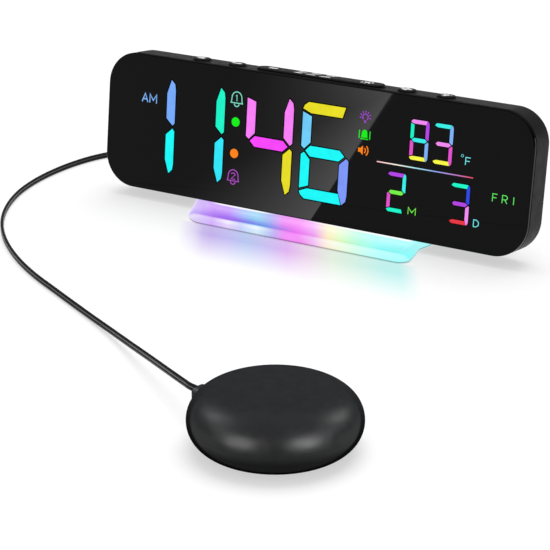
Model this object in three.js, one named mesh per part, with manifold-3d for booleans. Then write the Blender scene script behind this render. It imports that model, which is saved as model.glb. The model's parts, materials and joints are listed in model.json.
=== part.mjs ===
// Loud digital alarm clock: a slim leaning display on a lit base, with a wired bed shaker.
// Millimetres, +Z up, front towards -Y. The origin is the centre of the base's underside.
import * as THREE from 'three';
import { mergeVertices } from 'three/addons/utils/BufferGeometryUtils.js';
import Module from 'manifold-3d';

const wasm = await Module();
wasm.setup();

// Shared clearances
const GAP = 0.3;
const SMALL_ROUND_STEPS = 12;
const LARGE_ROUND_STEPS = 28;
const LARGE_ROUND = 6;
const CORNER_STEPS = 4;

// Clock body. In its own frame x runs along the face, y back into the body, z up the face.
const FACE_WIDTH = 240;
const FACE_HEIGHT = 70;
const FACE_CORNER = 17;
const LEAN = THREE.MathUtils.degToRad(7);
const LENS_THICKNESS = 2;
const LENS_BEVEL = 0.5;
const HOUSING_DEPTH = 15.1;
const HOUSING_WALL = 2.2;

// Base
const BASE_WIDTH = 131;
const BASE_DEPTH = 56;
const BASE_CORNER = 6;
const BASE_THICKNESS = 3;
const BASE_FRONT_REACH = 17.5;
const CLOCK_REAR_CLEARANCE = 0.38;
const RISER_INSET = 6.5;
const RISER_SETBACK = 3;
const RISER_BACK_SETBACK = 1;
const RISER_SINK = 0.5;
const PAD_RADIUS = 4;
const PAD_THICKNESS = 0.9;
const PAD_EDGE = 10;
const LIGHT_BOARD_WIDTH = 80;
const LIGHT_BOARD_DEPTH = 4;
const LIGHT_BOARD_THICKNESS = 1;
const LIGHT_BOARD_DROP = 0.6;

// Display behind the lens. Its heights are measured from the middle of the face.
const REFLECTOR_DEPTH = 6;
const BOARD_THICKNESS = 1.6;
const DIGIT_WIDTH = 28;
const DIGIT_HEIGHT = 48.6;
const DIGIT_STROKE = 5.8;
const SMALL_DIGIT_WIDTH = 10.5;
const SMALL_DIGIT_HEIGHT = 20.2;
const SMALL_DIGIT_STROKE = 2.3;
const COLON_RADIUS = 2.7;
const COLON_X = -42;
const COLON_REACH = 8;
const UPPER_ROW = 14.3;
const LOWER_ROW = -12.6;

// Left edge and segments of each large digit, left edge and row of each small one, then the middle,
// width and height of each indicator's window
const LARGE_DIGITS = [[-106.4, 'bc'], [-76.6, 'bc'], [-36.4, 'abcdefg'], [-4.2, 'abcdefg']];
const SMALL_DIGITS = [[55.3, UPPER_ROW], [68, UPPER_ROW], [45, LOWER_ROW], [79.2, LOWER_ROW]];
const INDICATORS = [
  [-94.7, 12.9, 10.4, 5.4], [-42.2, 19.9, 8, 8.4], [-41.8, -19.8, 8, 8.4], [31, 20.6, 7, 6.6],
  [31.2, 12.4, 7, 5.4], [31.2, 4.6, 7, 5.4], [85.6, 8.2, 6.4, 5.6], [64.6, 0.7, 52, 1],
  [59.6, -20.8, 5.4, 4.2], [93.6, -20.8, 4.4, 4.2], [106, -7, 13, 4.6],
];

// Buttons along the top
const BUTTON_RADIUS = 4.6;
const BUTTON_RISE = 1.1;
const BUTTON_SPOTS = [-69, -48, 48, 69];
const BUTTON_SETBACK = 6.2;
const SNOOZE_LENGTH = 71;
const SNOOZE_WIDTH = 9.2;
const SNOOZE_RISE = 1.4;
const BUTTON_BEVEL = 0.4;
const BUTTON_FLANGE = 0.4;
const BUTTON_FLANGE_THICKNESS = 1;
const STEM_RADIUS = 1.5;
const STEM_LENGTH = 0.6;
const SWITCH_SIZE = 6;
const SWITCH_HEIGHT = 2.3;
const PLUNGER_RADIUS = 1.4;
const PLUNGER_RISE = 0.4;
const PLUNGER_LENGTH = 1.7;
const BUTTON_BOARD_DEPTH = 9.6;
const BUTTON_BOARD_MARGIN = 9;
const BUTTON_BOARD_THICKNESS = 1.2;

// Rear cover and its bulge
const COVER_THICKNESS = 2.2;
const BULGE_WIDTH = 200;
const BULGE_HEIGHT = 46;
const BULGE_CORNER = 10;
const BULGE_REACH = 10.6;
const BULGE_WALL = 2;
const BOSS_LENGTH = 4.3;
const COVER_SCREW_EDGE = 1;
const SCREW_RADIUS = 1.2;
const SCREW_HEAD_RADIUS = 2.5;
const SCREW_HEAD_THICKNESS = 1.2;
const COVER_SCREW_LENGTH = 4.7;
const BASE_SCREW_EDGE = 9;
const BASE_SCREW_LENGTH = 8.7;
const BASE_BOSS_WIDTH = 8;
const BASE_BOSS_HEIGHT = 6;

// Speaker
const SPEAKER_X = 42;
const SPEAKER_RADIUS = 18;
const SPEAKER_FLANGE = 2;
const SPEAKER_FLANGE_THICKNESS = 1.5;
const BASKET_BOTTOM_RADIUS = 11;
const BASKET_HEIGHT = 8.5;
const BASKET_WALL = 1.2;
const MAGNET_RADIUS = 10;
const MAGNET_THICKNESS = 5.2;
const CONE_THICKNESS = 0.7;
const CONE_NECK_RADIUS = 4;
const CONE_HEIGHT = 4.5;
const CONE_CLEARANCE = 0.6;
const CONE_TRAVEL = 0.8;
const GRILLE_SLOT = 1.6;
const GRILLE_PITCH = 4;

// Main board, battery and sockets
const MAIN_BOARD_WIDTH = 106;
const MAIN_BOARD_HEIGHT = 40;
const MAIN_BOARD_X = -39;
const HEADER_WIDTH = 40;
const HEADER_HEIGHT = 5;
const HEADER_DEPTH = 1.9;
const CHIP_SIZE = 14;
const CHIP_THICKNESS = 1.6;
const BATTERY_X = -12;
const CELL_RADIUS = 10;
const CELL_THICKNESS = 3.2;
const CELL_PLAY = 0.5;
const CONTACT_RADIUS = 5;
const CONTACT_THICKNESS = 0.4;
const BATTERY_FLOOR = 1.2;
const DOOR_RADIUS = 13;
const DOOR_THICKNESS = 1.7;
const DOOR_SLOT_LENGTH = 16;
const DOOR_SLOT_WIDTH = 1.8;
const DOOR_SLOT_DEPTH = 0.8;
const SOCKET_DROP = 11;
const SHAKER_SOCKET_X = -84;
const POWER_SOCKET_X = -62;
const SHAKER_SOCKET_SIZE = 9;
const POWER_SOCKET_SIZE = 12;
const SOCKET_NOSE = 1.3;
const SOCKET_BACK_WALL = 1.5;
const POWER_BORE_RADIUS = 3.1;
const POWER_PIN_RADIUS = 1;
const POWER_PIN_TIP = 1;
const PLUG_PIN_RADIUS = 1.75;
const PLUG_PIN_LENGTH = 9;

// Shaker, its plug and its cord
const SHAKER_X = 118.2;
const SHAKER_Y = -231.85;
const SHAKER_TURN = THREE.MathUtils.degToRad(-11);
const SHAKER_RADIUS = 33.9;
const SHAKER_HEIGHT = 25.7;
const SHAKER_WAIST = 11.5;
const SHAKER_FOOT_RADIUS = 22.5;
const SHAKER_FOOT_LIFT = 0.4;
const SHAKER_WALL = 2;
const SHAKER_FLOOR = 2.8;
const SHOULDER_POWER = 3.67;
const CROWN_POWER = 2.06;
const SHAKER_STEPS = 32;
const CROWN_STEPS = 8;
const CROWN_INNER_STEPS = 5;
const BELLY_STEPS = 4;
const SHAKER_PAD_RADIUS = 14.5;
const SHAKER_PAD_THICKNESS = 1.2;
const POST_RADIUS = 2.6;
const POST_CLEARANCE = 0.8;
const POST_ANGLES = [90, 225, 315];
const SHAKER_SCREW_LENGTH = 8;
const MOTOR_RADIUS = 8;
const MOTOR_LENGTH = 24;
const MOTOR_START = -16;
const WEIGHT_CLEARANCE = 0.8;
const SHAFT_RADIUS = 1;
const SHAFT_DEPTH = 6;
const SHAFT_REACH = 11.5;
const WEIGHT_RADIUS = 8.5;
const WEIGHT_THICKNESS = 8;
const WEIGHT_OFFSET = 2.5;
const WEIGHT_HUB_RADIUS = 3;
const CRADLE_LENGTH = 16;
const CRADLE_WALL = 2;
const CRADLE_HEIGHT = 5.5;
const RELIEF_RADIUS = 4;
const RELIEF_TIP_RADIUS = 2.7;
const RELIEF_FLANGE = 0.6;
const RELIEF_FLANGE_SETBACK = 2.6;
const RELIEF_FLANGE_THICKNESS = 1.2;
const RELIEF_SHOULDER = 1;
const RELIEF_REACH = 7.4;
const PLUG_RADIUS = 4.2;
const PLUG_BODY_LENGTH = 16;
const PLUG_TAPER_LENGTH = 11.4;
const PLUG_TIP_RADIUS = 2.4;
const CORD_HEIGHT = 3.2;
const CORD_THICKNESS = 1.6;
const CORD_STEPS = 64;
const CORD_ROUTE = [
  [-84, 48, 22.5], [-84.3, 54, 21.6], [-86, 62, 19.6], [-91, 69, 16.2], [-100, 73.2, 11.8],
  [-111, 73.6, 7.6], [-122, 71.2, 4.2], [-133.5, 65.5, 2.1], [-143.5, 56, 1.65], [-150, 47, 1.65],
  [-154.5, 38.5, 1.65], [-158, 28, 1.65], [-160.2, 15, 1.65], [-160.8, -1, 1.65], [-159.3, -18.5, 1.65],
  [-155.2, -37, 1.65], [-148.2, -55, 1.65], [-139.2, -71.5, 1.65], [-129.5, -85.2, 1.65],
  [-118, -98.2, 1.65], [-103.8, -111.3, 1.65], [-87.4, -123.9, 1.65], [-70.3, -134.8, 1.65],
  [-52, -144.8, 1.65], [-35, -154, 1.65], [-17, -163.9, 1.9], [1.6, -174.8, 2.9], [18.8, -185.9, 4.6],
  [35.3, -197, 6.7], [49.5, -206.9, 8.7], [60.3, -214.3, 10.1], [68.8, -219.8, 11], [73.6, -222.8, 11.5],
  [77.36, -223.91, 11.5],
];

// Depths and heights worked out from the sizes above
const HOUSING_FRONT = LENS_THICKNESS + GAP;
const HOUSING_BACK = HOUSING_FRONT + HOUSING_DEPTH;
const INNER_TOP = FACE_HEIGHT - HOUSING_WALL;
const FACE_MIDDLE = FACE_HEIGHT / 2;
const REFLECTOR_BACK = HOUSING_FRONT + REFLECTOR_DEPTH;
const DISPLAY_BOARD_FRONT = REFLECTOR_BACK + GAP;
const DISPLAY_BOARD_BACK = DISPLAY_BOARD_FRONT + BOARD_THICKNESS;
const COVER_FRONT = HOUSING_BACK - COVER_THICKNESS;
const BULGE_BACK = HOUSING_BACK + BULGE_REACH;
const BULGE_INNER = BULGE_BACK - BULGE_WALL;
const MAIN_BOARD_FRONT = DISPLAY_BOARD_BACK + GAP + HEADER_DEPTH;
const MAIN_BOARD_BACK = MAIN_BOARD_FRONT + BOARD_THICKNESS;
const BUTTON_DEPTH = HOUSING_FRONT + BUTTON_SETBACK;
const FLANGE_TOP = INNER_TOP - GAP;
const FLANGE_BOTTOM = FLANGE_TOP - BUTTON_FLANGE_THICKNESS;
const STEM_BOTTOM = FLANGE_BOTTOM - STEM_LENGTH;
const PLUNGER_TOP = STEM_BOTTOM - GAP;
const SWITCH_TOP = PLUNGER_TOP - PLUNGER_RISE;
const SWITCH_BOTTOM = SWITCH_TOP - SWITCH_HEIGHT;
const BUTTON_BOARD_TOP = SWITCH_BOTTOM - GAP;
const BUTTON_BOARD_BOTTOM = BUTTON_BOARD_TOP - BUTTON_BOARD_THICKNESS;
const DISPLAY_TOP = BUTTON_BOARD_BOTTOM - GAP;
const SOCKET_HEIGHT = FACE_MIDDLE - SOCKET_DROP;
const BASE_SCREW_DEPTH = (DISPLAY_BOARD_BACK + COVER_FRONT) / 2;
const RISER_WIDTH = BASE_WIDTH - 2 * RISER_INSET;
const BASE_SCREW_SPOT = RISER_WIDTH / 2 - BASE_SCREW_EDGE;
const CLOCK_FRONT_Y = BASE_FRONT_REACH - BASE_DEPTH / 2;
const CLOCK_LIFT = BASE_THICKNESS + CLOCK_REAR_CLEARANCE + HOUSING_BACK * Math.sin(LEAN);
const COVER_SCREW_REACH = FACE_CORNER - HOUSING_WALL - 2 * GAP - SCREW_HEAD_RADIUS - COVER_SCREW_EDGE;
const BOSS_RADIUS = FACE_CORNER - HOUSING_WALL / 2 - COVER_SCREW_REACH;
const SHAKER_FLOOR_TOP = SHAKER_FOOT_LIFT + SHAKER_FLOOR;
const MOTOR_HEIGHT = SHAKER_FLOOR_TOP + WEIGHT_CLEARANCE + WEIGHT_RADIUS;
const POST_CIRCLE = (MOTOR_RADIUS + CRADLE_WALL + POST_CLEARANCE + POST_RADIUS) * Math.SQRT2;

const SHAKER_NOSE = PLUG_PIN_RADIUS + GAP + SOCKET_NOSE;
const POWER_NOSE = POWER_BORE_RADIUS + SOCKET_NOSE;

const CLOCK_POSE = new THREE.Matrix4().makeRotationX(-LEAN);
CLOCK_POSE.setPosition(0, CLOCK_FRONT_Y, CLOCK_LIFT);

const FINISHES = {
  lens: { color: 0x0c0c0d, roughness: 0.12, metalness: 0 },
  housing: { color: 0x2a2b2d, roughness: 0.55, metalness: 0 },
  button: { color: 0x222325, roughness: 0.5, metalness: 0 },
  reflector: { color: 0xe9e9e6, roughness: 0.6, metalness: 0 },
  board: { color: 0x1d5a36, roughness: 0.5, metalness: 0 },
  glow: { color: 0xd9c8ff, roughness: 0.25, metalness: 0 },
  rubber: { color: 0x1a1a1a, roughness: 0.85, metalness: 0 },
  steel: { color: 0xb9bcc0, roughness: 0.3, metalness: 1 },
  magnet: { color: 0x4b4c50, roughness: 0.4, metalness: 0.8 },
  paper: { color: 0x2d2c2b, roughness: 0.9, metalness: 0 },
  brass: { color: 0xc9a24c, roughness: 0.3, metalness: 1 },
  shaker: { color: 0x323335, roughness: 0.6, metalness: 0 },
  cord: { color: 0x161617, roughness: 0.5, metalness: 0 },
};
for (const finish in FINISHES) FINISHES[finish] = new THREE.MeshStandardMaterial(FINISHES[finish]);

// A closed geometry as a solid that can be joined and cut
function solidOf(geometry) {
  const bare = geometry.clone();
  bare.deleteAttribute('normal');
  bare.deleteAttribute('uv');
  const merged = mergeVertices(bare, 1e-4);
  const corners = merged.index.array;
  const kept = [];
  for (let i = 0; i < corners.length; i += 3) {
    const [a, b, c] = corners.slice(i, i + 3);
    if (a !== b && b !== c && c !== a) kept.push(a, b, c);
  }
  const vertProperties = new Float32Array(merged.attributes.position.array);
  return new wasm.Manifold(new wasm.Mesh({ numProp: 3, vertProperties, triVerts: new Uint32Array(kept) }));
}

function geometryOf(solid) {
  const mesh = solid.getMesh();
  const geometry = new THREE.BufferGeometry();
  geometry.setAttribute('position', new THREE.BufferAttribute(mesh.vertProperties, 3));
  geometry.setIndex(new THREE.BufferAttribute(mesh.triVerts, 1));
  geometry.computeVertexNormals();
  return geometry;
}

const join = (...geometries) => geometryOf(
  geometries.map(solidOf).reduce((sum, next) => sum.add(next)));

const cut = (geometry, ...tools) => geometryOf(
  tools.map(solidOf).reduce((left, tool) => left.subtract(tool), solidOf(geometry)));

const common = (geometry, other) => geometryOf(solidOf(geometry).intersect(solidOf(other)));

// Flat outlines
function roundedRect(x0, x1, y0, y1, radius) {
  const shape = new THREE.Shape();
  shape.absarc(x1 - radius, y0 + radius, radius, -Math.PI / 2, 0);
  shape.absarc(x1 - radius, y1 - radius, radius, 0, Math.PI / 2);
  shape.absarc(x0 + radius, y1 - radius, radius, Math.PI / 2, Math.PI);
  shape.absarc(x0 + radius, y0 + radius, radius, Math.PI, Math.PI * 1.5);
  shape.closePath();
  return shape;
}

const faceOutline = (inset) => roundedRect(
  inset - FACE_WIDTH / 2, FACE_WIDTH / 2 - inset, inset, FACE_HEIGHT - inset, FACE_CORNER - inset);

const centredRect = (x, y, width, height, radius) => roundedRect(
  x - width / 2, x + width / 2, y - height / 2, y + height / 2, radius);

function plainRect(x, y, width, height) {
  const corners = [[-1, -1], [1, -1], [1, 1], [-1, 1]];
  return new THREE.Shape(corners.map(([u, v]) => new THREE.Vector2(x + u * width / 2, y + v * height / 2)));
}

function disc(x, y, radius) {
  const shape = new THREE.Shape();
  shape.absarc(x, y, radius, 0, Math.PI);
  shape.absarc(x, y, radius, Math.PI, Math.PI * 2);
  return shape;
}

// An x-z outline extruded from depth y0 back to y1
function slab(shape, y0, y1) {
  const settings = { depth: y1 - y0, bevelEnabled: false, curveSegments: CORNER_STEPS };
  return new THREE.ExtrudeGeometry(shape, settings).rotateX(Math.PI / 2).translate(0, y1, 0);
}

// An x-y outline extruded from height z0 up to z1
function prism(shape, z0, z1) {
  const settings = { depth: z1 - z0, bevelEnabled: false, curveSegments: CORNER_STEPS };
  return new THREE.ExtrudeGeometry(shape, settings).translate(0, 0, z0);
}

const box = (x0, x1, y0, y1, z0, z1) => new THREE.BoxGeometry(x1 - x0, y1 - y0, z1 - z0)
  .translate((x0 + x1) / 2, (y0 + y1) / 2, (z0 + z1) / 2);

const roundSteps = (radius) => (radius < LARGE_ROUND ? SMALL_ROUND_STEPS : LARGE_ROUND_STEPS);
const rod = (radius, length) => new THREE.CylinderGeometry(radius, radius, length, roundSteps(radius));

const rodAlongDepth = (x, z, radius, y0, y1) => rod(radius, y1 - y0).translate(x, (y0 + y1) / 2, z);

const rodUpright = (x, y, radius, z0, z1) => rod(radius, z1 - z0)
  .rotateX(Math.PI / 2).translate(x, y, (z0 + z1) / 2);

// A profile of [radius, place] pairs turned about the depth axis, then moved to (x, z)
function turnedAlongDepth(profile, x, z) {
  const points = profile.map(([radius, place]) => new THREE.Vector2(radius, place));
  const widest = Math.max(...profile.map(([radius]) => radius));
  return new THREE.LatheGeometry(points, roundSteps(widest)).translate(x, 0, z);
}

function addPiece(group, name, geometry, finish) {
  const mesh = new THREE.Mesh(geometry, FINISHES[finish]);
  mesh.name = name;
  group.add(mesh);
}

// Seven-segment outlines in a cell with its left edge at x and its middle at z, drawn in strokes.
// Segments a and d own the left corners, b and c the right ones.
function segmentOutline(segment, x, z, width, height, stroke) {
  const right = width / stroke;
  const half = height / stroke / 2;
  const upper = {
    a: [[0, half - 0.62], [0.75, half - 1], [right - 1.12, half - 1], [right - 0.78, half], [0.5, half],
      [0.12, half - 0.3]],
    b: [[right - 1, 0.9], [right - 0.25, 0.2], [right, 0.4], [right, half - 0.9],
      [right - 0.1, half - 0.35], [right - 0.52, half], [right - 1, half - 1.3]],
    f: [[0, 0.55], [0.3, 0.25], [1, 0.9], [1, half - 1.35], [0, half - 0.95]],
    g: [[0.48, 0], [0.97, -0.52], [right - 0.95, -0.52], [right - 0.45, 0], [right - 0.95, 0.52],
      [0.97, 0.52]],
  };
  const mirrorOf = { c: 'b', d: 'a', e: 'f' };
  const flip = segment in mirrorOf ? -1 : 1;
  const corners = upper[mirrorOf[segment] ?? segment];
  const ordered = flip < 0 ? [...corners].reverse() : corners;
  return new THREE.Shape(ordered.map(([u, v]) => new THREE.Vector2(x + u * stroke, z + flip * v * stroke)));
}

const digit = (segments, x, z, width, height, stroke) => [...segments].map(
  (segment) => segmentOutline(segment, x, z, width, height, stroke));

// Light wells of the display: the time, the temperature, the date and the small indicators
function displayWindows() {
  const windows = [-COLON_REACH, COLON_REACH].map((z) => disc(COLON_X, FACE_MIDDLE + z, COLON_RADIUS));
  for (const [x, segments] of LARGE_DIGITS) {
    windows.push(...digit(segments, x, FACE_MIDDLE, DIGIT_WIDTH, DIGIT_HEIGHT, DIGIT_STROKE));
  }
  for (const [x, row] of SMALL_DIGITS) {
    windows.push(...digit(
      'abcdefg', x, FACE_MIDDLE + row, SMALL_DIGIT_WIDTH, SMALL_DIGIT_HEIGHT, SMALL_DIGIT_STROKE));
  }
  for (const [x, z, width, height] of INDICATORS) windows.push(plainRect(x, FACE_MIDDLE + z, width, height));
  return windows;
}

// Corner bosses of the housing and the screws that enter them
function coverScrewSpots() {
  const reach = COVER_SCREW_REACH * Math.SQRT1_2;
  const x = FACE_WIDTH / 2 - FACE_CORNER + reach;
  const low = FACE_CORNER - reach;
  return [[-x, low], [x, low], [-x, FACE_HEIGHT - low], [x, FACE_HEIGHT - low]];
}

function buttonOutlines() {
  const round = (x, grow) => disc(x, BUTTON_DEPTH, BUTTON_RADIUS + grow);
  const bar = (x, grow) => centredRect(
    x, BUTTON_DEPTH, SNOOZE_LENGTH + 2 * grow, SNOOZE_WIDTH + 2 * grow, SNOOZE_WIDTH / 2 + grow);
  const [alarm, down, up, light] = BUTTON_SPOTS;
  return [
    { name: 'alarm', x: alarm, rise: BUTTON_RISE, outline: round },
    { name: 'down', x: down, rise: BUTTON_RISE, outline: round },
    { name: 'snooze', x: 0, rise: SNOOZE_RISE, outline: bar },
    { name: 'up', x: up, rise: BUTTON_RISE, outline: round },
    { name: 'light', x: light, rise: BUTTON_RISE, outline: round },
  ];
}

function buildLens(clock) {
  const settings = {
    depth: LENS_THICKNESS - 2 * LENS_BEVEL, curveSegments: CORNER_STEPS, bevelEnabled: true,
    bevelSegments: 2, bevelThickness: LENS_BEVEL, bevelSize: LENS_BEVEL, bevelOffset: -LENS_BEVEL,
  };
  const lens = new THREE.ExtrudeGeometry(faceOutline(0), settings).rotateX(Math.PI / 2);
  addPiece(clock, 'front_lens', lens.translate(0, LENS_THICKNESS - LENS_BEVEL, 0), 'lens');
}

function buildDisplay(clock) {
  const inset = HOUSING_WALL + GAP;
  const reach = FACE_WIDTH / 2;
  const below = (y0, y1) => box(-reach, reach, y0, y1, 0, DISPLAY_TOP);
  const panel = (y0, y1) => common(slab(faceOutline(inset), y0, y1), below(y0 - GAP, y1 + GAP));
  const wells = slab(displayWindows(), HOUSING_FRONT - GAP, REFLECTOR_BACK + GAP);
  addPiece(clock, 'display_reflector', cut(panel(HOUSING_FRONT, REFLECTOR_BACK), wells), 'reflector');
  addPiece(clock, 'display_board', panel(DISPLAY_BOARD_FRONT, DISPLAY_BOARD_BACK), 'board');
}

function buildHousing(clock) {
  const ring = faceOutline(0);
  ring.holes.push(faceOutline(HOUSING_WALL));
  const bossBack = COVER_FRONT - GAP;
  const bosses = coverScrewSpots().map(([x, z]) => rodAlongDepth(
    x, z, BOSS_RADIUS, bossBack - BOSS_LENGTH, bossBack));
  const baseBossHalfDepth = BASE_SCREW_DEPTH - DISPLAY_BOARD_BACK - GAP;
  const baseBosses = [-BASE_SCREW_SPOT, BASE_SCREW_SPOT].map((x) => box(
    x - BASE_BOSS_WIDTH / 2, x + BASE_BOSS_WIDTH / 2, BASE_SCREW_DEPTH - baseBossHalfDepth,
    BASE_SCREW_DEPTH + baseBossHalfDepth, HOUSING_WALL / 2, HOUSING_WALL + BASE_BOSS_HEIGHT));
  const buttonHoles = buttonOutlines().map(({ x, outline }) => prism(
    outline(x, GAP), INNER_TOP - GAP, FACE_HEIGHT + GAP));
  const coverHoles = coverScrewSpots().map(([x, z]) => rodAlongDepth(
    x, z, SCREW_RADIUS + GAP, bossBack - BOSS_LENGTH - GAP, bossBack + GAP));
  const baseHoles = [-BASE_SCREW_SPOT, BASE_SCREW_SPOT].map((x) => rodUpright(
    x, BASE_SCREW_DEPTH, SCREW_RADIUS + GAP, -GAP, HOUSING_WALL + BASE_BOSS_HEIGHT + GAP));
  const shell = join(slab(ring, HOUSING_FRONT, HOUSING_BACK), ...bosses, ...baseBosses);
  addPiece(clock, 'main_housing', cut(shell, ...buttonHoles, ...coverHoles, ...baseHoles), 'housing');
}

function buildButtons(clock) {
  const boardReach = BUTTON_SPOTS.at(-1) + BUTTON_BOARD_MARGIN;
  const boardBack = COVER_FRONT - GAP;
  addPiece(clock, 'button_board', box(
    -boardReach, boardReach, boardBack - BUTTON_BOARD_DEPTH, boardBack, BUTTON_BOARD_BOTTOM,
    BUTTON_BOARD_TOP), 'board');
  for (const { name, x, rise, outline } of buttonOutlines()) {
    const head = new THREE.ExtrudeGeometry(outline(x, 0), {
      depth: FACE_HEIGHT + rise - FLANGE_BOTTOM - 2 * BUTTON_BEVEL, curveSegments: CORNER_STEPS,
      bevelEnabled: true, bevelSegments: 2, bevelThickness: BUTTON_BEVEL, bevelSize: BUTTON_BEVEL,
      bevelOffset: -BUTTON_BEVEL,
    }).translate(0, 0, FLANGE_BOTTOM + BUTTON_BEVEL);
    const flange = prism(outline(x, BUTTON_FLANGE), FLANGE_BOTTOM, FLANGE_TOP);
    const stem = rodUpright(x, BUTTON_DEPTH, STEM_RADIUS, STEM_BOTTOM, FLANGE_TOP);
    addPiece(clock, `${name}_button`, join(head, flange, stem), 'button');

    const body = plainRect(x, BUTTON_DEPTH, SWITCH_SIZE, SWITCH_SIZE);
    body.holes.push(disc(x, BUTTON_DEPTH, PLUNGER_RADIUS + GAP));
    addPiece(clock, `${name}_switch`, prism(body, SWITCH_BOTTOM, SWITCH_TOP), 'rubber');
    addPiece(clock, `${name}_switch_plunger`, rodUpright(
      x, BUTTON_DEPTH, PLUNGER_RADIUS, PLUNGER_TOP - PLUNGER_LENGTH, PLUNGER_TOP), 'rubber');
  }
}

function grilleSlots() {
  const reach = SPEAKER_RADIUS - SPEAKER_FLANGE - GRILLE_SLOT;
  const rows = Math.floor(reach / GRILLE_PITCH);
  const slots = [];
  for (let row = -rows; row <= rows; row += 1) {
    const z = row * GRILLE_PITCH;
    const half = Math.sqrt(reach * reach - z * z);
    slots.push(plainRect(SPEAKER_X, FACE_MIDDLE + z, 2 * half, GRILLE_SLOT));
  }
  return slab(slots, BULGE_INNER - GAP, BULGE_BACK + GAP);
}

function buildRearCover(clock) {
  const bulge = (inset) => centredRect(
    0, FACE_MIDDLE, BULGE_WIDTH - 2 * inset, BULGE_HEIGHT - 2 * inset, BULGE_CORNER - inset);
  const cupRadius = DOOR_RADIUS + GAP + BATTERY_FLOOR;
  const cupFloor = batteryFloor();
  const shell = cut(
    join(
      slab(faceOutline(HOUSING_WALL + GAP), COVER_FRONT, HOUSING_BACK),
      slab(bulge(0), COVER_FRONT, BULGE_BACK)),
    slab(bulge(BULGE_WALL), COVER_FRONT - GAP, BULGE_INNER));
  const cup = rodAlongDepth(BATTERY_X, FACE_MIDDLE, cupRadius, cupFloor - BATTERY_FLOOR, BULGE_INNER + GAP);
  const cuts = [
    rodAlongDepth(BATTERY_X, FACE_MIDDLE, CELL_RADIUS + CELL_PLAY, cupFloor, BULGE_BACK),
    rodAlongDepth(
      BATTERY_X, FACE_MIDDLE, DOOR_RADIUS + GAP, BULGE_BACK - DOOR_THICKNESS - GAP, BULGE_BACK + GAP),
    rodAlongDepth(SHAKER_SOCKET_X, SOCKET_HEIGHT, SHAKER_NOSE + GAP, BULGE_INNER - GAP, BULGE_BACK + GAP),
    rodAlongDepth(POWER_SOCKET_X, SOCKET_HEIGHT, POWER_NOSE + GAP, BULGE_INNER - GAP, BULGE_BACK + GAP),
    grilleSlots(),
  ];
  for (const [x, z] of coverScrewSpots()) {
    cuts.push(rodAlongDepth(x, z, SCREW_RADIUS + GAP, COVER_FRONT - GAP, HOUSING_BACK));
    cuts.push(rodAlongDepth(
      x, z, SCREW_HEAD_RADIUS + GAP, HOUSING_BACK - SCREW_HEAD_THICKNESS - GAP, HOUSING_BACK + GAP));
  }
  addPiece(clock, 'rear_cover', cut(join(shell, cup), ...cuts), 'housing');

  coverScrewSpots().forEach(([x, z], index) => {
    const neck = HOUSING_BACK - SCREW_HEAD_THICKNESS;
    const screw = turnedAlongDepth([
      [0, neck - COVER_SCREW_LENGTH], [SCREW_RADIUS, neck - COVER_SCREW_LENGTH], [SCREW_RADIUS, neck],
      [SCREW_HEAD_RADIUS, neck], [SCREW_HEAD_RADIUS, HOUSING_BACK], [0, HOUSING_BACK]], x, z);
    addPiece(clock, `rear_cover_screw_${index + 1}`, screw, 'steel');
  });
}

function buildSpeaker(clock) {
  const rim = BULGE_INNER - GAP;
  const flange = rim - SPEAKER_FLANGE_THICKNESS;
  const bottom = rim - BASKET_HEIGHT;
  const mouth = SPEAKER_RADIUS - SPEAKER_FLANGE;
  const basket = [
    [BASKET_BOTTOM_RADIUS, bottom], [SPEAKER_RADIUS, flange], [SPEAKER_RADIUS, rim], [mouth, rim],
    [mouth, flange], [BASKET_BOTTOM_RADIUS - BASKET_WALL, bottom + BASKET_WALL],
    [CONE_NECK_RADIUS + CONE_CLEARANCE, bottom + BASKET_WALL], [CONE_NECK_RADIUS + CONE_CLEARANCE, bottom],
    [BASKET_BOTTOM_RADIUS, bottom],
  ];
  addPiece(clock, 'speaker_frame', turnedAlongDepth(basket, SPEAKER_X, FACE_MIDDLE), 'steel');
  addPiece(clock, 'speaker_magnet', rodAlongDepth(
    SPEAKER_X, FACE_MIDDLE, MAGNET_RADIUS, bottom - GAP - MAGNET_THICKNESS, bottom - GAP), 'magnet');
  const edge = mouth - CONE_CLEARANCE;
  const coneBack = rim - CONE_TRAVEL;
  const cone = [
    [0, coneBack - CONE_HEIGHT - CONE_THICKNESS], [CONE_NECK_RADIUS, coneBack - CONE_HEIGHT - CONE_THICKNESS],
    [edge, coneBack - CONE_THICKNESS], [edge, coneBack], [CONE_NECK_RADIUS, coneBack - CONE_HEIGHT],
    [0, coneBack - CONE_HEIGHT],
  ];
  addPiece(clock, 'speaker_cone', turnedAlongDepth(cone, SPEAKER_X, FACE_MIDDLE), 'paper');
}

function buildMainBoard(clock) {
  const board = slab(
    plainRect(MAIN_BOARD_X, FACE_MIDDLE, MAIN_BOARD_WIDTH, MAIN_BOARD_HEIGHT),
    MAIN_BOARD_FRONT, MAIN_BOARD_BACK);
  const header = slab(
    plainRect(MAIN_BOARD_X, FACE_MIDDLE, HEADER_WIDTH, HEADER_HEIGHT),
    MAIN_BOARD_FRONT - HEADER_DEPTH, MAIN_BOARD_BACK);
  const chip = slab(
    plainRect(MAIN_BOARD_X, FACE_MIDDLE, CHIP_SIZE, CHIP_SIZE),
    MAIN_BOARD_FRONT, MAIN_BOARD_BACK + CHIP_THICKNESS);
  addPiece(clock, 'main_board', join(board, header, chip), 'board');
}

function batteryFloor() {
  const doorFront = BULGE_BACK - DOOR_THICKNESS;
  return doorFront - CELL_THICKNESS - CONTACT_THICKNESS - 4 * GAP;
}

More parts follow.
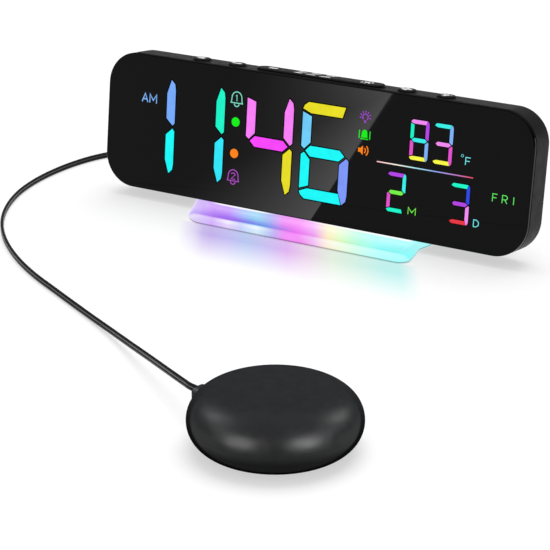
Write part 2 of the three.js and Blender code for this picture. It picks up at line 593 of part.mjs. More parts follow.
function buildBattery(clock) {
  const floor = batteryFloor();
  const contactBack = floor + GAP + CONTACT_THICKNESS;
  const puck = (radius, y0, y1) => rodAlongDepth(BATTERY_X, FACE_MIDDLE, radius, y0, y1);
  addPiece(clock, 'battery_contact', puck(CONTACT_RADIUS, floor + GAP, contactBack), 'steel');
  const cellFront = contactBack + GAP;
  addPiece(clock, 'coin_cell', puck(CELL_RADIUS, cellFront, cellFront + CELL_THICKNESS), 'steel');
  const door = puck(DOOR_RADIUS, BULGE_BACK - DOOR_THICKNESS, BULGE_BACK);
  const slot = slab(
    plainRect(BATTERY_X, FACE_MIDDLE, DOOR_SLOT_LENGTH, DOOR_SLOT_WIDTH),
    BULGE_BACK - DOOR_SLOT_DEPTH, BULGE_BACK + GAP);
  addPiece(clock, 'battery_door', cut(door, slot), 'housing');
}

// A board-mounted socket: a block behind the cover, with a round nose flush with the cover's back
function socket(x, size, nose, bore) {
  const front = MAIN_BOARD_BACK + GAP;
  const block = slab(plainRect(x, SOCKET_HEIGHT, size, size), front, BULGE_INNER - GAP);
  const snout = rodAlongDepth(x, SOCKET_HEIGHT, nose, BULGE_INNER - 2 * GAP, BULGE_BACK);
  const hollow = rodAlongDepth(x, SOCKET_HEIGHT, bore, front + SOCKET_BACK_WALL, BULGE_BACK + GAP);
  return cut(join(block, snout), hollow);
}

function buildSockets(clock) {
  const front = MAIN_BOARD_BACK + GAP;
  addPiece(clock, 'shaker_socket', socket(
    SHAKER_SOCKET_X, SHAKER_SOCKET_SIZE, SHAKER_NOSE, PLUG_PIN_RADIUS + GAP), 'rubber');
  const pinHole = rodAlongDepth(
    POWER_SOCKET_X, SOCKET_HEIGHT, POWER_PIN_RADIUS + GAP, front - GAP, BULGE_BACK);
  addPiece(clock, 'power_socket', cut(
    socket(POWER_SOCKET_X, POWER_SOCKET_SIZE, POWER_NOSE, POWER_BORE_RADIUS), pinHole), 'rubber');
  addPiece(clock, 'power_socket_pin', rodAlongDepth(
    POWER_SOCKET_X, SOCKET_HEIGHT, POWER_PIN_RADIUS, front, BULGE_BACK - POWER_PIN_TIP), 'brass');
}

function buildShakerPlug(clock) {
  const start = BULGE_BACK + GAP;
  const shoulder = start + PLUG_BODY_LENGTH;
  const tip = shoulder + PLUG_TAPER_LENGTH;
  const body = [[0, start], [PLUG_RADIUS, start], [PLUG_RADIUS, shoulder], [PLUG_TIP_RADIUS, tip], [0, tip]];
  addPiece(clock, 'shaker_plug', turnedAlongDepth(body, SHAKER_SOCKET_X, SOCKET_HEIGHT), 'cord');
  addPiece(clock, 'shaker_plug_pin', rodAlongDepth(
    SHAKER_SOCKET_X, SOCKET_HEIGHT, PLUG_PIN_RADIUS, BULGE_BACK - PLUG_PIN_LENGTH, BULGE_BACK), 'brass');
}

// The base and what hangs on it. The riser meets the clock's leaning underside.
function buildBase(part, clock) {
  const plate = prism(centredRect(0, 0, BASE_WIDTH, BASE_DEPTH, BASE_CORNER), 0, BASE_THICKNESS);
  const riserFoot = BASE_THICKNESS - CLOCK_LIFT - RISER_SINK;
  const riser = box(
    -RISER_WIDTH / 2, RISER_WIDTH / 2, RISER_SETBACK, HOUSING_BACK - RISER_BACK_SETBACK, riserFoot, -GAP);
  const boardMiddle = (RISER_SETBACK + BASE_SCREW_DEPTH - SCREW_HEAD_RADIUS) / 2;
  const boardTop = -LIGHT_BOARD_DROP;
  const boardBottom = boardTop - LIGHT_BOARD_THICKNESS;
  const boardBox = (grow, top) => box(
    -LIGHT_BOARD_WIDTH / 2 - grow, LIGHT_BOARD_WIDTH / 2 + grow, boardMiddle - LIGHT_BOARD_DEPTH / 2 - grow,
    boardMiddle + LIGHT_BOARD_DEPTH / 2 + grow, boardBottom - grow, top);
  addPiece(clock, 'light_board', boardBox(0, boardTop), 'board');

  const headTop = riserFoot + RISER_SINK + GAP;
  const headBottom = headTop - SCREW_HEAD_THICKNESS;
  const cuts = [boardBox(GAP, GAP)];
  [-BASE_SCREW_SPOT, BASE_SCREW_SPOT].forEach((x, index) => {
    const screw = join(
      rodUpright(x, BASE_SCREW_DEPTH, SCREW_HEAD_RADIUS, headBottom, headTop),
      rodUpright(x, BASE_SCREW_DEPTH, SCREW_RADIUS, headBottom + GAP, headTop + BASE_SCREW_LENGTH));
    addPiece(clock, `base_screw_${index + 1}`, screw, 'steel');
    cuts.push(rodUpright(x, BASE_SCREW_DEPTH, SCREW_HEAD_RADIUS + GAP, -CLOCK_LIFT, headTop + GAP));
    cuts.push(rodUpright(x, BASE_SCREW_DEPTH, SCREW_RADIUS + GAP, headTop, GAP));
  });
  for (const tool of cuts) tool.applyMatrix4(CLOCK_POSE);
  const padX = BASE_WIDTH / 2 - PAD_EDGE;
  const padY = BASE_DEPTH / 2 - PAD_EDGE;
  [[-padX, -padY], [padX, -padY], [-padX, padY], [padX, padY]].forEach(([x, y], index) => {
    addPiece(part, `base_pad_${index + 1}`, rodUpright(x, y, PAD_RADIUS, 0, PAD_THICKNESS), 'rubber');
    cuts.push(rodUpright(x, y, PAD_RADIUS + GAP, -GAP, PAD_THICKNESS + GAP));
  });
  addPiece(part, 'light_base', cut(join(plate, riser.applyMatrix4(CLOCK_POSE)), ...cuts), 'glow');
}

// Crown of the shaker from its waist up to the axis, drawn in by an inset
function shakerCrown(inset, steps) {
  const points = [];
  for (let step = 0; step <= steps; step += 1) {
    const turn = (step / steps) * Math.PI / 2;
    const radius = (SHAKER_RADIUS - inset) * Math.max(Math.cos(turn), 0) ** (2 / SHOULDER_POWER);
    const rise = (SHAKER_HEIGHT - SHAKER_WAIST - inset) * Math.sin(turn) ** (2 / CROWN_POWER);
    points.push(new THREE.Vector2(step === steps ? 0 : radius, SHAKER_WAIST + rise));
  }
  return points;
}

// Underside of the shaker from its foot up to just below the waist, drawn in by an inset
function shakerBelly(inset, steps) {
  const points = [];
  for (let step = 0; step <= steps; step += 1) {
    const turn = (step / steps) * Math.PI / 2;
    const radius = SHAKER_FOOT_RADIUS - inset + (SHAKER_RADIUS - SHAKER_FOOT_RADIUS) * Math.sin(turn);
    const low = inset > 0 ? SHAKER_FLOOR_TOP : SHAKER_FOOT_LIFT;
    points.push(new THREE.Vector2(radius, low + (SHAKER_WAIST - GAP - low) * (1 - Math.cos(turn))));
  }
  return points;
}

const turnedUpright = (points) => new THREE.LatheGeometry(points, SHAKER_STEPS).rotateX(Math.PI / 2);

function buildShakerShells(shaker) {
  const spots = POST_ANGLES.map((degrees) => {
    const angle = THREE.MathUtils.degToRad(degrees);
    return [POST_CIRCLE * Math.cos(angle), POST_CIRCLE * Math.sin(angle)];
  });
  const reliefHole = rodUpright(0, 0, RELIEF_RADIUS + GAP, 0, SHAKER_RADIUS + GAP)
    .rotateY(-Math.PI / 2).translate(0, 0, SHAKER_WAIST);

  const outer = shakerCrown(0, CROWN_STEPS);
  const inner = shakerCrown(SHAKER_WALL, CROWN_INNER_STEPS);
  const middle = shakerCrown(SHAKER_WALL / 2, CROWN_INNER_STEPS);
  const crown = turnedUpright([...inner.reverse(), ...outer]);
  const solidCrown = turnedUpright([
    new THREE.Vector2(0, 0), new THREE.Vector2(SHAKER_RADIUS - SHAKER_WALL / 2, 0), ...middle]);
  const posts = spots.map(([x, y]) => common(
    rodUpright(x, y, POST_RADIUS, SHAKER_FLOOR_TOP + GAP, SHAKER_HEIGHT), solidCrown));
  const postHoles = spots.map(([x, y]) => rodUpright(
    x, y, SCREW_RADIUS + GAP, SHAKER_FLOOR_TOP, SHAKER_FLOOR_TOP + SHAKER_SCREW_LENGTH));
  addPiece(shaker, 'shaker_top_shell', cut(join(crown, ...posts), reliefHole, ...postHoles), 'shaker');

  const belly = turnedUpright([
    new THREE.Vector2(0, SHAKER_FOOT_LIFT), ...shakerBelly(0, BELLY_STEPS),
    ...shakerBelly(SHAKER_WALL, BELLY_STEPS).reverse(),
    new THREE.Vector2(0, SHAKER_FLOOR_TOP)]);
  const headTop = SHAKER_FOOT_LIFT + SCREW_HEAD_THICKNESS;
  const screwCuts = spots.flatMap(([x, y]) => [
    rodUpright(x, y, SCREW_HEAD_RADIUS + GAP, 0, headTop + GAP),
    rodUpright(x, y, SCREW_RADIUS + GAP, headTop, SHAKER_FLOOR_TOP + GAP)]);
  const padCut = rodUpright(0, 0, SHAKER_PAD_RADIUS + GAP, 0, SHAKER_PAD_THICKNESS + GAP);
  addPiece(shaker, 'shaker_bottom_shell', cut(belly, reliefHole, padCut, ...screwCuts), 'shaker');
  addPiece(shaker, 'shaker_pad', rodUpright(0, 0, SHAKER_PAD_RADIUS, 0, SHAKER_PAD_THICKNESS), 'rubber');
  spots.forEach(([x, y], index) => {
    const screw = join(
      rodUpright(x, y, SCREW_HEAD_RADIUS, SHAKER_FOOT_LIFT, headTop),
      rodUpright(x, y, SCREW_RADIUS, headTop - GAP, headTop + SHAKER_SCREW_LENGTH));
    addPiece(shaker, `shaker_screw_${index + 1}`, screw, 'steel');
  });
}

const rodAlongX = (radius, x0, x1) => rod(radius, x1 - x0)
  .rotateZ(-Math.PI / 2).translate((x0 + x1) / 2, 0, MOTOR_HEIGHT);

function buildShakerDrive(shaker) {
  const motorEnd = MOTOR_START + MOTOR_LENGTH;
  const bore = rodAlongX(SHAFT_RADIUS + GAP, motorEnd - SHAFT_DEPTH - GAP, motorEnd + GAP);
  addPiece(shaker, 'shaker_motor', cut(rodAlongX(MOTOR_RADIUS, MOTOR_START, motorEnd), bore), 'steel');
  addPiece(shaker, 'motor_shaft', rodAlongX(
    SHAFT_RADIUS, motorEnd - SHAFT_DEPTH, motorEnd + SHAFT_REACH), 'steel');

  const weightStart = motorEnd + WEIGHT_OFFSET;
  const weightEnd = weightStart + WEIGHT_THICKNESS;
  const lower = box(
    weightStart, weightEnd, -WEIGHT_RADIUS, WEIGHT_RADIUS, MOTOR_HEIGHT - WEIGHT_RADIUS, MOTOR_HEIGHT);
  const weight = join(
    common(rodAlongX(WEIGHT_RADIUS, weightStart, weightEnd), lower),
    rodAlongX(WEIGHT_HUB_RADIUS, weightStart, weightEnd));
  const weightBore = rodAlongX(SHAFT_RADIUS + GAP, weightStart - GAP, weightEnd + GAP);
  addPiece(shaker, 'eccentric_weight', cut(weight, weightBore), 'brass');

  const cradleBottom = SHAKER_FLOOR_TOP + GAP;
  const cradleMiddle = MOTOR_START + MOTOR_LENGTH / 2;
  const cradleHalfWidth = MOTOR_RADIUS + CRADLE_WALL;
  const cradle = box(
    cradleMiddle - CRADLE_LENGTH / 2, cradleMiddle + CRADLE_LENGTH / 2, -cradleHalfWidth, cradleHalfWidth,
    cradleBottom, cradleBottom + CRADLE_HEIGHT);
  const seat = rodAlongX(MOTOR_RADIUS + GAP, MOTOR_START - GAP, motorEnd + GAP);
  addPiece(shaker, 'motor_cradle', cut(cradle, seat), 'rubber');
}

function buildStrainRelief(shaker) {
  const inner = SHAKER_RADIUS - SHAKER_WALL - RELIEF_FLANGE_SETBACK;
  const tip = SHAKER_RADIUS + RELIEF_REACH;
  const profile = [
    [0, inner - RELIEF_FLANGE_THICKNESS], [RELIEF_RADIUS + RELIEF_FLANGE, inner - RELIEF_FLANGE_THICKNESS],
    [RELIEF_RADIUS + RELIEF_FLANGE, inner], [RELIEF_RADIUS, inner],
    [RELIEF_RADIUS, SHAKER_RADIUS + RELIEF_SHOULDER],
    [RELIEF_TIP_RADIUS, tip], [0, tip],
  ].map(([radius, place]) => new THREE.Vector2(radius, place));
  const relief = new THREE.LatheGeometry(profile, SMALL_ROUND_STEPS).rotateZ(Math.PI / 2);
  addPiece(shaker, 'strain_relief', relief.translate(0, 0, SHAKER_WAIST), 'shaker');
}

// The flat twin lead stands on its edge along the route
function buildCord(part) {
  const curve = new THREE.CatmullRomCurve3(CORD_ROUTE.map((point) => new THREE.Vector3(...point)));
  const up = new THREE.Vector3(0, 0, 1);
  const edge = CORD_THICKNESS / 4;
  const crown = CORD_HEIGHT / 2 - CORD_THICKNESS / 4;
  const section = [
    [CORD_THICKNESS / 2, -crown], [CORD_THICKNESS / 2, crown],
    [edge, CORD_HEIGHT / 2], [-edge, CORD_HEIGHT / 2],
    [-CORD_THICKNESS / 2, crown], [-CORD_THICKNESS / 2, -crown],
    [-edge, -CORD_HEIGHT / 2], [edge, -CORD_HEIGHT / 2],
  ];
  const sides = section.length;
  const positions = [];
  const corners = [];
  const place = (origin, right, top, [across, high]) => positions.push(
    ...origin.clone().addScaledVector(right, across).addScaledVector(top, high).toArray());
  for (let step = 0; step <= CORD_STEPS; step += 1) {
    const tangent = curve.getTangentAt(step / CORD_STEPS);
    const right = new THREE.Vector3().crossVectors(tangent, up).normalize();
    const top = new THREE.Vector3().crossVectors(right, tangent);
    const origin = curve.getPointAt(step / CORD_STEPS);
    for (const point of section) place(origin, right, top, point);
  }
  for (let step = 0; step < CORD_STEPS; step += 1) {
    for (let side = 0; side < sides; side += 1) {
      const a = step * sides + side;
      const b = step * sides + (side + 1) % sides;
      corners.push(a, b + sides, b, a, a + sides, b + sides);
    }
  }
  const last = CORD_STEPS * sides;
  for (let side = 1; side < sides - 1; side += 1) {
    corners.push(0, side, side + 1);
    corners.push(last, last + side + 1, last + side);
  }
  const cord = new THREE.BufferGeometry();
  cord.setAttribute('position', new THREE.Float32BufferAttribute(positions, 3));
  cord.setIndex(corners);
  cord.computeVertexNormals();
  addPiece(part, 'shaker_cord', cord, 'cord');
}

const part = new THREE.Group();
const clock = new THREE.Group();
CLOCK_POSE.decompose(clock.position, clock.quaternion, clock.scale);
part.add(clock);
const shaker = new THREE.Group();
shaker.position.set(SHAKER_X, SHAKER_Y, 0);
shaker.rotation.z = SHAKER_TURN;
part.add(shaker);

buildLens(clock);
buildDisplay(clock);
buildHousing(clock);
buildButtons(clock);
buildRearCover(clock);
buildSpeaker(clock);
buildMainBoard(clock);
buildBattery(clock);
buildSockets(clock);
buildShakerPlug(clock);
buildBase(part, clock);
buildShakerShells(shaker);
buildShakerDrive(shaker);
buildStrainRelief(shaker);
buildCord(part);

export default part;
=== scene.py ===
"""Looks of the loud alarm clock: the leaning display, its lit base and the wired shaker in front of it."""
import json
import math

import bmesh
import bpy
from mathutils import Matrix, Vector


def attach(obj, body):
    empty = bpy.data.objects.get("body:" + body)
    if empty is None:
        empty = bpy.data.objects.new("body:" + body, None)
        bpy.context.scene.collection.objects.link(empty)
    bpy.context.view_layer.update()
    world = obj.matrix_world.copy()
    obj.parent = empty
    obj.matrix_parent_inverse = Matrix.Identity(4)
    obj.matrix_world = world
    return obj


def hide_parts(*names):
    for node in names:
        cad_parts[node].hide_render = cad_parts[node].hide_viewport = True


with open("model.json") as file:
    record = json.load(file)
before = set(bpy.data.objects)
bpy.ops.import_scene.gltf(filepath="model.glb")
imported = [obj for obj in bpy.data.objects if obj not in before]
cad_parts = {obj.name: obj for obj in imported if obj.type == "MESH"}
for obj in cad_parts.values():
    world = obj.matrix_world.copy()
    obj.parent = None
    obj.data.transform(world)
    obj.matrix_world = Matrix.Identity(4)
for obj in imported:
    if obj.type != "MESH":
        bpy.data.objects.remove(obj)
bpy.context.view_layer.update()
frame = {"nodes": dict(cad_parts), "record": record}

MM = 0.001

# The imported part's sizes, in millimetres
GAP = 0.3
FACE_WIDTH = 240
FACE_HEIGHT = 70
FACE_CORNER = 17
FACE_MIDDLE = FACE_HEIGHT / 2
LEAN = math.radians(7)
CLOCK_FRONT_Y = -10.5
CLOCK_LIFT = 5.5005
LENS_THICKNESS = 2
HOUSING_FRONT = 2.3
HOUSING_BACK = 17.4
HOUSING_WALL = 2.2
COVER_FRONT = 15.2
BULGE_WIDTH = 200
BULGE_HEIGHT = 46
BULGE_CORNER = 10
BULGE_BACK = 28
BULGE_WALL = 2
BUTTON_DEPTH = 8.5
BUTTON_RADIUS = 4.6
BUTTON_TOP = FACE_HEIGHT + 1.1
SNOOZE_LENGTH = 71
SNOOZE_WIDTH = 9.2
SNOOZE_TOP = FACE_HEIGHT + 1.4
FLANGE_BOTTOM = 66.5
FLANGE_TOP = 67.5
FLANGE_REACH = 0.4
COVER_SCREW_X = 110.57
COVER_SCREW_RISE = 25.57
SCREW_RADIUS = 1.2
SCREW_HEAD_RADIUS = 2.5
SCREW_HEAD_THICKNESS = 1.2
BASE_SCREW_X = 50
BASE_SCREW_DEPTH = 12.7
BASE_SCREW_FOOT = -3.4
DOOR_X = -12
DOOR_RADIUS = 13
DOOR_FRONT = 26.3
DOOR_SLOT = (16, 1.8, 0.8)
SPEAKER_X = 42
GRILLE_REACH = 14.4
GRILLE_SLOT = 1.6
GRILLE_PITCH = 4
SOCKET_HEIGHT = 24
SOCKET_FLOOR = 17.5
SHAKER_SOCKET_X = -84
PLUG_START = 28.3
PLUG_SHOULDER = 44.3
PLUG_TIP = 55.7
PLUG_RADIUS = 4.2
PLUG_TIP_RADIUS = 2.4
BASE_WIDTH = 131
BASE_DEPTH = 56
PAD_RADIUS = 4
PAD_THICKNESS = 0.9
PAD_X = 55.5
PAD_Y = 18
PADS = [(x, y) for y in (-PAD_Y, PAD_Y) for x in (-PAD_X, PAD_X)]
SHAKER_SPOT = (118.2, -231.85, 0)
SHAKER_TURN = math.radians(-11)
SHAKER_RADIUS = 33.9
SHAKER_HEIGHT = 25.7
SHAKER_WAIST = 11.5
SHAKER_FOOT_RADIUS = 22.5
SHAKER_FOOT_LIFT = 0.4
SHAKER_FLOOR_TOP = 3.2
SHAKER_WALL = 2
SHOULDER_POWER = 3.67
CROWN_POWER = 2.06
SHAKER_PAD_RADIUS = 14.5
SHAKER_PAD_THICKNESS = 1.2
SHAKER_SCREW_CIRCLE = 18.95
SHAKER_SCREW_ANGLES = (90, 225, 315)
RELIEF_RADIUS = 4
RELIEF_START = 28
RELIEF_TIP = 41.3
CORD_HEIGHT = 3.2
CORD_LOBE = 0.85

# The sockets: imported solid, place across the clock, and radii of nose and bore
SOCKETS = {
    "lead_socket": ("shaker_socket", SHAKER_SOCKET_X, 3.35, 2.05),
    "power_inlet": ("power_socket", -62, 4.4, 3.1),
}

# Middle of the cord from the clock's plug to the shaker, as the part has it
CORD_ROUTE = [
    (-84, 48, 22.5), (-84.3, 54, 21.6), (-86, 62, 19.6), (-91, 69, 16.2), (-100, 73.2, 11.8),
    (-111, 73.6, 7.6), (-122, 71.2, 4.2), (-133.5, 65.5, 2.1), (-143.5, 56, 1.65), (-150, 47, 1.65),
    (-154.5, 38.5, 1.65), (-158, 28, 1.65), (-160.2, 15, 1.65), (-160.8, -1, 1.65), (-159.3, -18.5, 1.65),
    (-155.2, -37, 1.65), (-148.2, -55, 1.65), (-139.2, -71.5, 1.65), (-129.5, -85.2, 1.65),
    (-118, -98.2, 1.65), (-103.8, -111.3, 1.65), (-87.4, -123.9, 1.65), (-70.3, -134.8, 1.65),
    (-52, -144.8, 1.65), (-35, -154, 1.65), (-17, -163.9, 1.9), (1.6, -174.8, 2.9), (18.8, -185.9, 4.6),
    (35.3, -197, 6.7), (49.5, -206.9, 8.7), (60.3, -214.3, 10.1), (68.8, -219.8, 11), (73.6, -222.8, 11.5),
    (77.36, -223.91, 11.5),
]

# Steps of round shapes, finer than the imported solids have, and limits of the meshes
CORNER_STEPS = 24
EDGE_STEPS = 6
ROUND_STEPS = 64
PUCK_STEPS = 128
CORD_STEPS = 6
SHARP_ANGLE = math.radians(35)
MITRE_LIMIT = 0.6
AXIS_RADIUS = 0.3

# How far a cutter reaches past what it cuts
OVERSHOOT = 1

# The base's riser and the light board's room in it, as ranges of x, y and z in the clock's frame
RISER = (-59, 59, 3, 16.4, -3, -GAP)
LIGHT_BOARD_ROOM = (-40 - GAP, 40 + GAP, 4.6 - GAP, 8.6 + GAP, -1.6 - GAP, OVERSHOOT)

# The cuts through the bulge, and the seats of the screws
BULGE_CUT = (BULGE_BACK - BULGE_WALL - OVERSHOOT, BULGE_BACK + OVERSHOOT)
SINK_RADIUS = SCREW_HEAD_RADIUS + GAP
SINK_DEPTH = SCREW_HEAD_THICKNESS + GAP

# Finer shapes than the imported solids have
BREAK = 0.3
LENS_EDGE = 0.6
HOUSING_EDGE = 1.2
HOUSING_BREAK = 0.35
BUTTON_EDGE = 0.8
COVER_EDGE = 0.4
BULGE_FOOT = 1
BULGE_EDGE = 2.5
SCREW_EDGE = 0.5
SCREW_POINT = 0.8
COVER_SCREW_LENGTH = 4.7
BASE_SCREW_LENGTH = 8.7
SHAKER_SCREW_LENGTH = 8
CROSS = (1.6, 0.35)
CROSS_DEPTH = 0.8
DOOR_GROOVE = (9.9, 11)
DOOR_MARK = (0.6, 1.6)
DOOR_MARK_RISE = 11.8
DOOR_PLAY = 0.1
PLUG_EDGE = 0.5
PAD_EDGE = 0.35
PAD_GROOVES = (4, 8, 12)
GROOVE = ((-0.8, 0), (-0.6, 0.4), (0.6, 0.4), (0.8, 0))
PUCK_SEAM = 0.05
STUB_WIDTH = 7.4
STUB_HEIGHT = 6.7
STUB_DROP = 1.45
STUB_CORNER = 2
STUB_EDGE = 1
STUB_BREAK = 0.6

# The plug's rows of ribs: start, end, count and depth, and one rib's shape as shares of pitch and depth
PLUG_RIBS = (31, PLUG_SHOULDER, 7, 0.35)
SLEEVE_RIBS = (PLUG_SHOULDER + 0.8, PLUG_TIP - 1, 5, 0.5)
RIB_SHAPE = ((0, 0), (0.55, 0), (0.65, 1), (0.9, 1))

# The base in plan: its front, the slant of its left end, and the flare and waist of its right end, each
# with its size, middle and reach
FRONT_GROWTH = 1.05
LEFT_SPREAD = 4.1
LEFT_SLANT = 0.45
RIGHT_FLARE = (1.9, -25, 7)
RIGHT_WAIST = (1.7, -7, 5)

# Its corners: side, end, radius and where the arc starts
BASE_CORNERS = ((1, 1, 9, 0), (-1, 1, 9, 90), (-1, -1, 9, 180), (1, -1, 5.5, 270))
LEAST_CORNER = 0.5

# Its edge and the groove on its top, as insets and heights
BASE_EDGE = [
    (0.9, 0), (0.2, 0.25), (0, 0.7), (0.15, 1.2), (0.7, 1.8), (1.6, 2.3), (2.8, 2.7), (4.2, 2.93), (5.4, 3),
    (5.9, 2.75), (6.4, 2.75), (6.9, 3),
]

# Lit and printed signs: their heights above what carries them, and how far they sink in
BACKING_TOP = 0.03
LIT_TOP = 0.06
MARK_SINK = 0.05

# How far the keys' signs stand before the middle of the keys
SIGN_SHIFT = 0.7

# Digits of the display: width, height and stroke, the middles of their rows, and their lean
LARGE = (26.8, 48.1, 5)
SMALL = (9.75, 19.4, 1.8)
LARGE_ROW = 34.85
UPPER_ROW = 48.95
LOWER_ROW = 22
DIGIT_LEAN = 0.012

# Each digit's left edge, row and lit segments
TIME = [
    (-105.2, LARGE_ROW, {"b": "blue", "c": "cyan"}),
    (-75.4, LARGE_ROW, {"b": "teal", "c": "aqua"}),
    (-35.45, LARGE_ROW, {"tall_f": "orchid", "b": "orchid", "g": "magenta", "c": "yellow"}),
    (-3.35, LARGE_ROW, {"a": "yellow", "f": "azure", "g": "cyan", "e": "cyan", "d": "cyan",
                        "c": "periwinkle"}),
]
TEMPERATURE = [
    (55.85, UPPER_ROW, {"a": "pink", "f": "teal", "b": "purple", "g": "turquoise", "e": "rose", "c": "sky",
                       "d": "lemon"}),
    (68.55, UPPER_ROW, {"a": "turquoise", "b": "sky", "g": "pink", "c": "rose", "d": "lemon"}),
]
DATE = [
    (45.75, LOWER_ROW, {"a": "purple", "b": "turquoise", "g": "lime", "e": "rose", "d": "teal"}),
    (79.7, LOWER_ROW, {"a": "teal", "b": "deep_blue", "g": "purple", "c": "pink", "d": "red"}),
]

# Strokes of the letters in a unit box
LETTERS = {
    "A": [[(0, 0), (0.5, 1), (1, 0)], [(0.2, 0.34), (0.8, 0.34)]],
    "M": [[(0, 0), (0, 1), (0.5, 0.3), (1, 1), (1, 0)]],
    "F": [[(1, 1), (0, 1), (0, 0)], [(0, 0.52), (0.85, 0.52)]],
    "R": [[(0, 0), (0, 1), (0.7, 1), (1, 0.85), (1, 0.62), (0.7, 0.46), (0, 0.46)], [(0.5, 0.46), (1, 0)]],
    "I": [[(0, 0), (0, 1)]],
    "D": [[(0, 0), (0, 1), (0.55, 1), (1, 0.72), (1, 0.28), (0.55, 0), (0, 0)]],
    "Z": [[(0, 1), (1, 1), (0, 0), (1, 0)]],
    "1": [[(0.2, 0.8), (0.5, 1), (0.5, 0)]],
    "2": [[(0, 0.8), (0.3, 1), (0.7, 1), (1, 0.75), (0, 0), (1, 0)]],
}

# Words of the display: each letter's corner, width, height and stroke
MORNING = [("A", -98.9, 45.6, 3.5, 4.4, 0.65), ("M", -94.2, 45.6, 4.1, 4.4, 0.65)]
DEGREES = [("F", 85.7, 41.1, 2.5, 3.6, 0.42)]
MONTH = [("M", 57.8, 12.6, 3.9, 3.4, 0.42)]
DAY = [("D", 92.5, 12.5, 2.6, 3.3, 0.42)]
WEEKDAY = [
    ("F", 101.1, 26.1, 2.4, 3.7, 0.42), ("R", 106.1, 26.1, 2.5, 3.7, 0.42), ("I", 111.9, 26.1, 1, 3.7, 0.42),
]
FIRST_ALARM = [("1", -43.1, 53.55, 2.2, 3, 0.45)]
SECOND_ALARM = [("2", -42.8, 13.9, 2.4, 3.1, 0.45)]

# The snooze key's letters, each with its place and size, and how far out its dash and sun stand
NAP = ((-13, 4.4), (-6, 5.2), (2, 6))
NAP_SIDE = 26.5

# Other signs of the display, and how far the dark mask reaches round the digits
UPPER_DOT = (-42, 43)
LOWER_DOT = (-41.8, 27)
DOT_RADIUS = 2.35
DEGREE_SPOT = (83.8, 45.2)
DEGREE_RADIUS = 0.6
DEGREE_STROKE = 0.2
DIVIDER_SPOT = (64.65, 35.5)
DIVIDER_SIZE = (51.5, 0.55)
DIVIDER_CORNER = 0.27
FIRST_BELL = (-45.6, 50.8, 7.2, 7.4)
SECOND_BELL = (-45.2, 11.2, 7.2, 7.4)
BELL_STROKE = 0.5
BULB_SPOT = (31, 55.7)
RINGING_SPOT = (31.2, 47.4)
LOUDSPEAKER_SPOT = (31.2, 39.7)
LARGE_MARGIN = 0.55
SMALL_MARGIN = 0.35

# Camera, found from the photo's outline of the face, the base and the shaker
CAMERA_SPOT = Vector((0.47632, -0.82420, 0.32723))
CAMERA_RIGHT = Vector((0.85573, 0.51742, -0.00037))
CAMERA_UP = Vector((-0.18026, 0.29879, 0.93714))
CAMERA_LENS = 131.46
SENSOR_WIDTH = 36


def srgb(red, green, blue):
    """A colour written as it looks on the screen, 0 to 255, as linear values with full alpha."""
    linear = [((c / 255 + 0.055) / 1.055) ** 2.4 if c > 10 else c / 3294.6 for c in (red, green, blue)]
    return (*linear, 1.0)


# Surfaces: the used range of noise, the slow drifts of tone and gloss, and the depth of the grain
NOISE_RANGE = (0.3, 0.7)
DRIFT_LENGTH = 12
TONE_STOPS = ((0.35, -1), (0.65, 1))
GLOSS_DRIFT = 0.12
RELIEF = 0.05 * MM

# Lit pieces: their colour when dark, and how fine their unevenness is
SIGN_GREY = 0.01
SIGN_GRAIN = 220
PLATE_GRAIN = 60

# Light of the base: its reach to the back, the top of its foot, where the light is dimmed as a painted
# contact shadow, and the bright line under the clock
GLOW_BACK = -7.5 * MM
FOOT_SHADE_TOP = 1 * MM
BROW = (3.3 * MM, 3.9 * MM)

# Its bands of colour, with painted shade in the groove along the front, a painted contact shadow at its foot
# and painted highlights in white spots on the lip. The glows and the whites of the lip and the riser run from
# end to end, the foot's dimming upwards, and the other lists from the front to the back
WHITE = (1, 1, 1, 1)
BAND_SLANT = 0.6
BASE_PIVOT = -15 * MM
BASE_GLOW = [
    (0.0, srgb(218, 200, 247)), (0.06, srgb(200, 165, 250)), (0.12, srgb(186, 118, 250)),
    (0.19, srgb(176, 104, 249)), (0.26, srgb(140, 170, 245)), (0.32, srgb(120, 205, 245)),
    (0.38, srgb(150, 160, 242)), (0.44, srgb(236, 105, 242)), (0.51, srgb(243, 108, 244)),
    (0.57, srgb(238, 160, 242)), (0.63, srgb(250, 235, 190)), (0.70, srgb(212, 250, 200)),
    (0.76, srgb(175, 252, 225)), (0.84, srgb(145, 252, 248)), (0.96, srgb(130, 250, 252)),
]
PLATE_WHITE = [(0.0, 0.1), (0.1, 0.1), (0.22, 0.0), (0.45, 0.05), (0.7, 0.15), (1.0, 0.25)]
# Colours of the groove along the front: the glow darkened there as painted shade
CREASE_SHADE_COLOURS = [
    (0.02, srgb(198, 185, 247)), (0.08, srgb(178, 130, 246)), (0.15, srgb(158, 92, 243)),
    (0.22, srgb(142, 82, 236)), (0.29, srgb(105, 112, 236)), (0.36, srgb(95, 142, 236)),
    (0.42, srgb(165, 120, 240)), (0.49, srgb(232, 95, 238)), (0.57, srgb(236, 145, 240)),
    (0.63, srgb(250, 232, 180)), (0.70, srgb(205, 250, 190)), (0.77, srgb(165, 252, 220)),
    (0.86, srgb(130, 252, 250)),
]
# How far the groove's painted shade reaches, and the dip of the plate's light in the groove, also painted
# shade
CREASE_SHADE_REACH = [(0.24, 0.0), (0.28, 1.0), (0.34, 0.9), (0.6, 0.0)]
GROOVE_DIMMING = [(0.23, 1.0), (0.28, 0.92), (0.33, 1.0)]
# Dimming of the foot upwards, a painted contact shadow along the bottom edge
FOOT_SHADE = [(0.35, 0.42), (0.8, 0.5), (1.0, 1.0)]
RISER_WHITE = [(0.1, 0.2), (0.15, 0.9), (0.34, 1.0), (0.4, 0.3), (0.5, 0.15), (0.6, 0.6), (0.68, 1.0)]
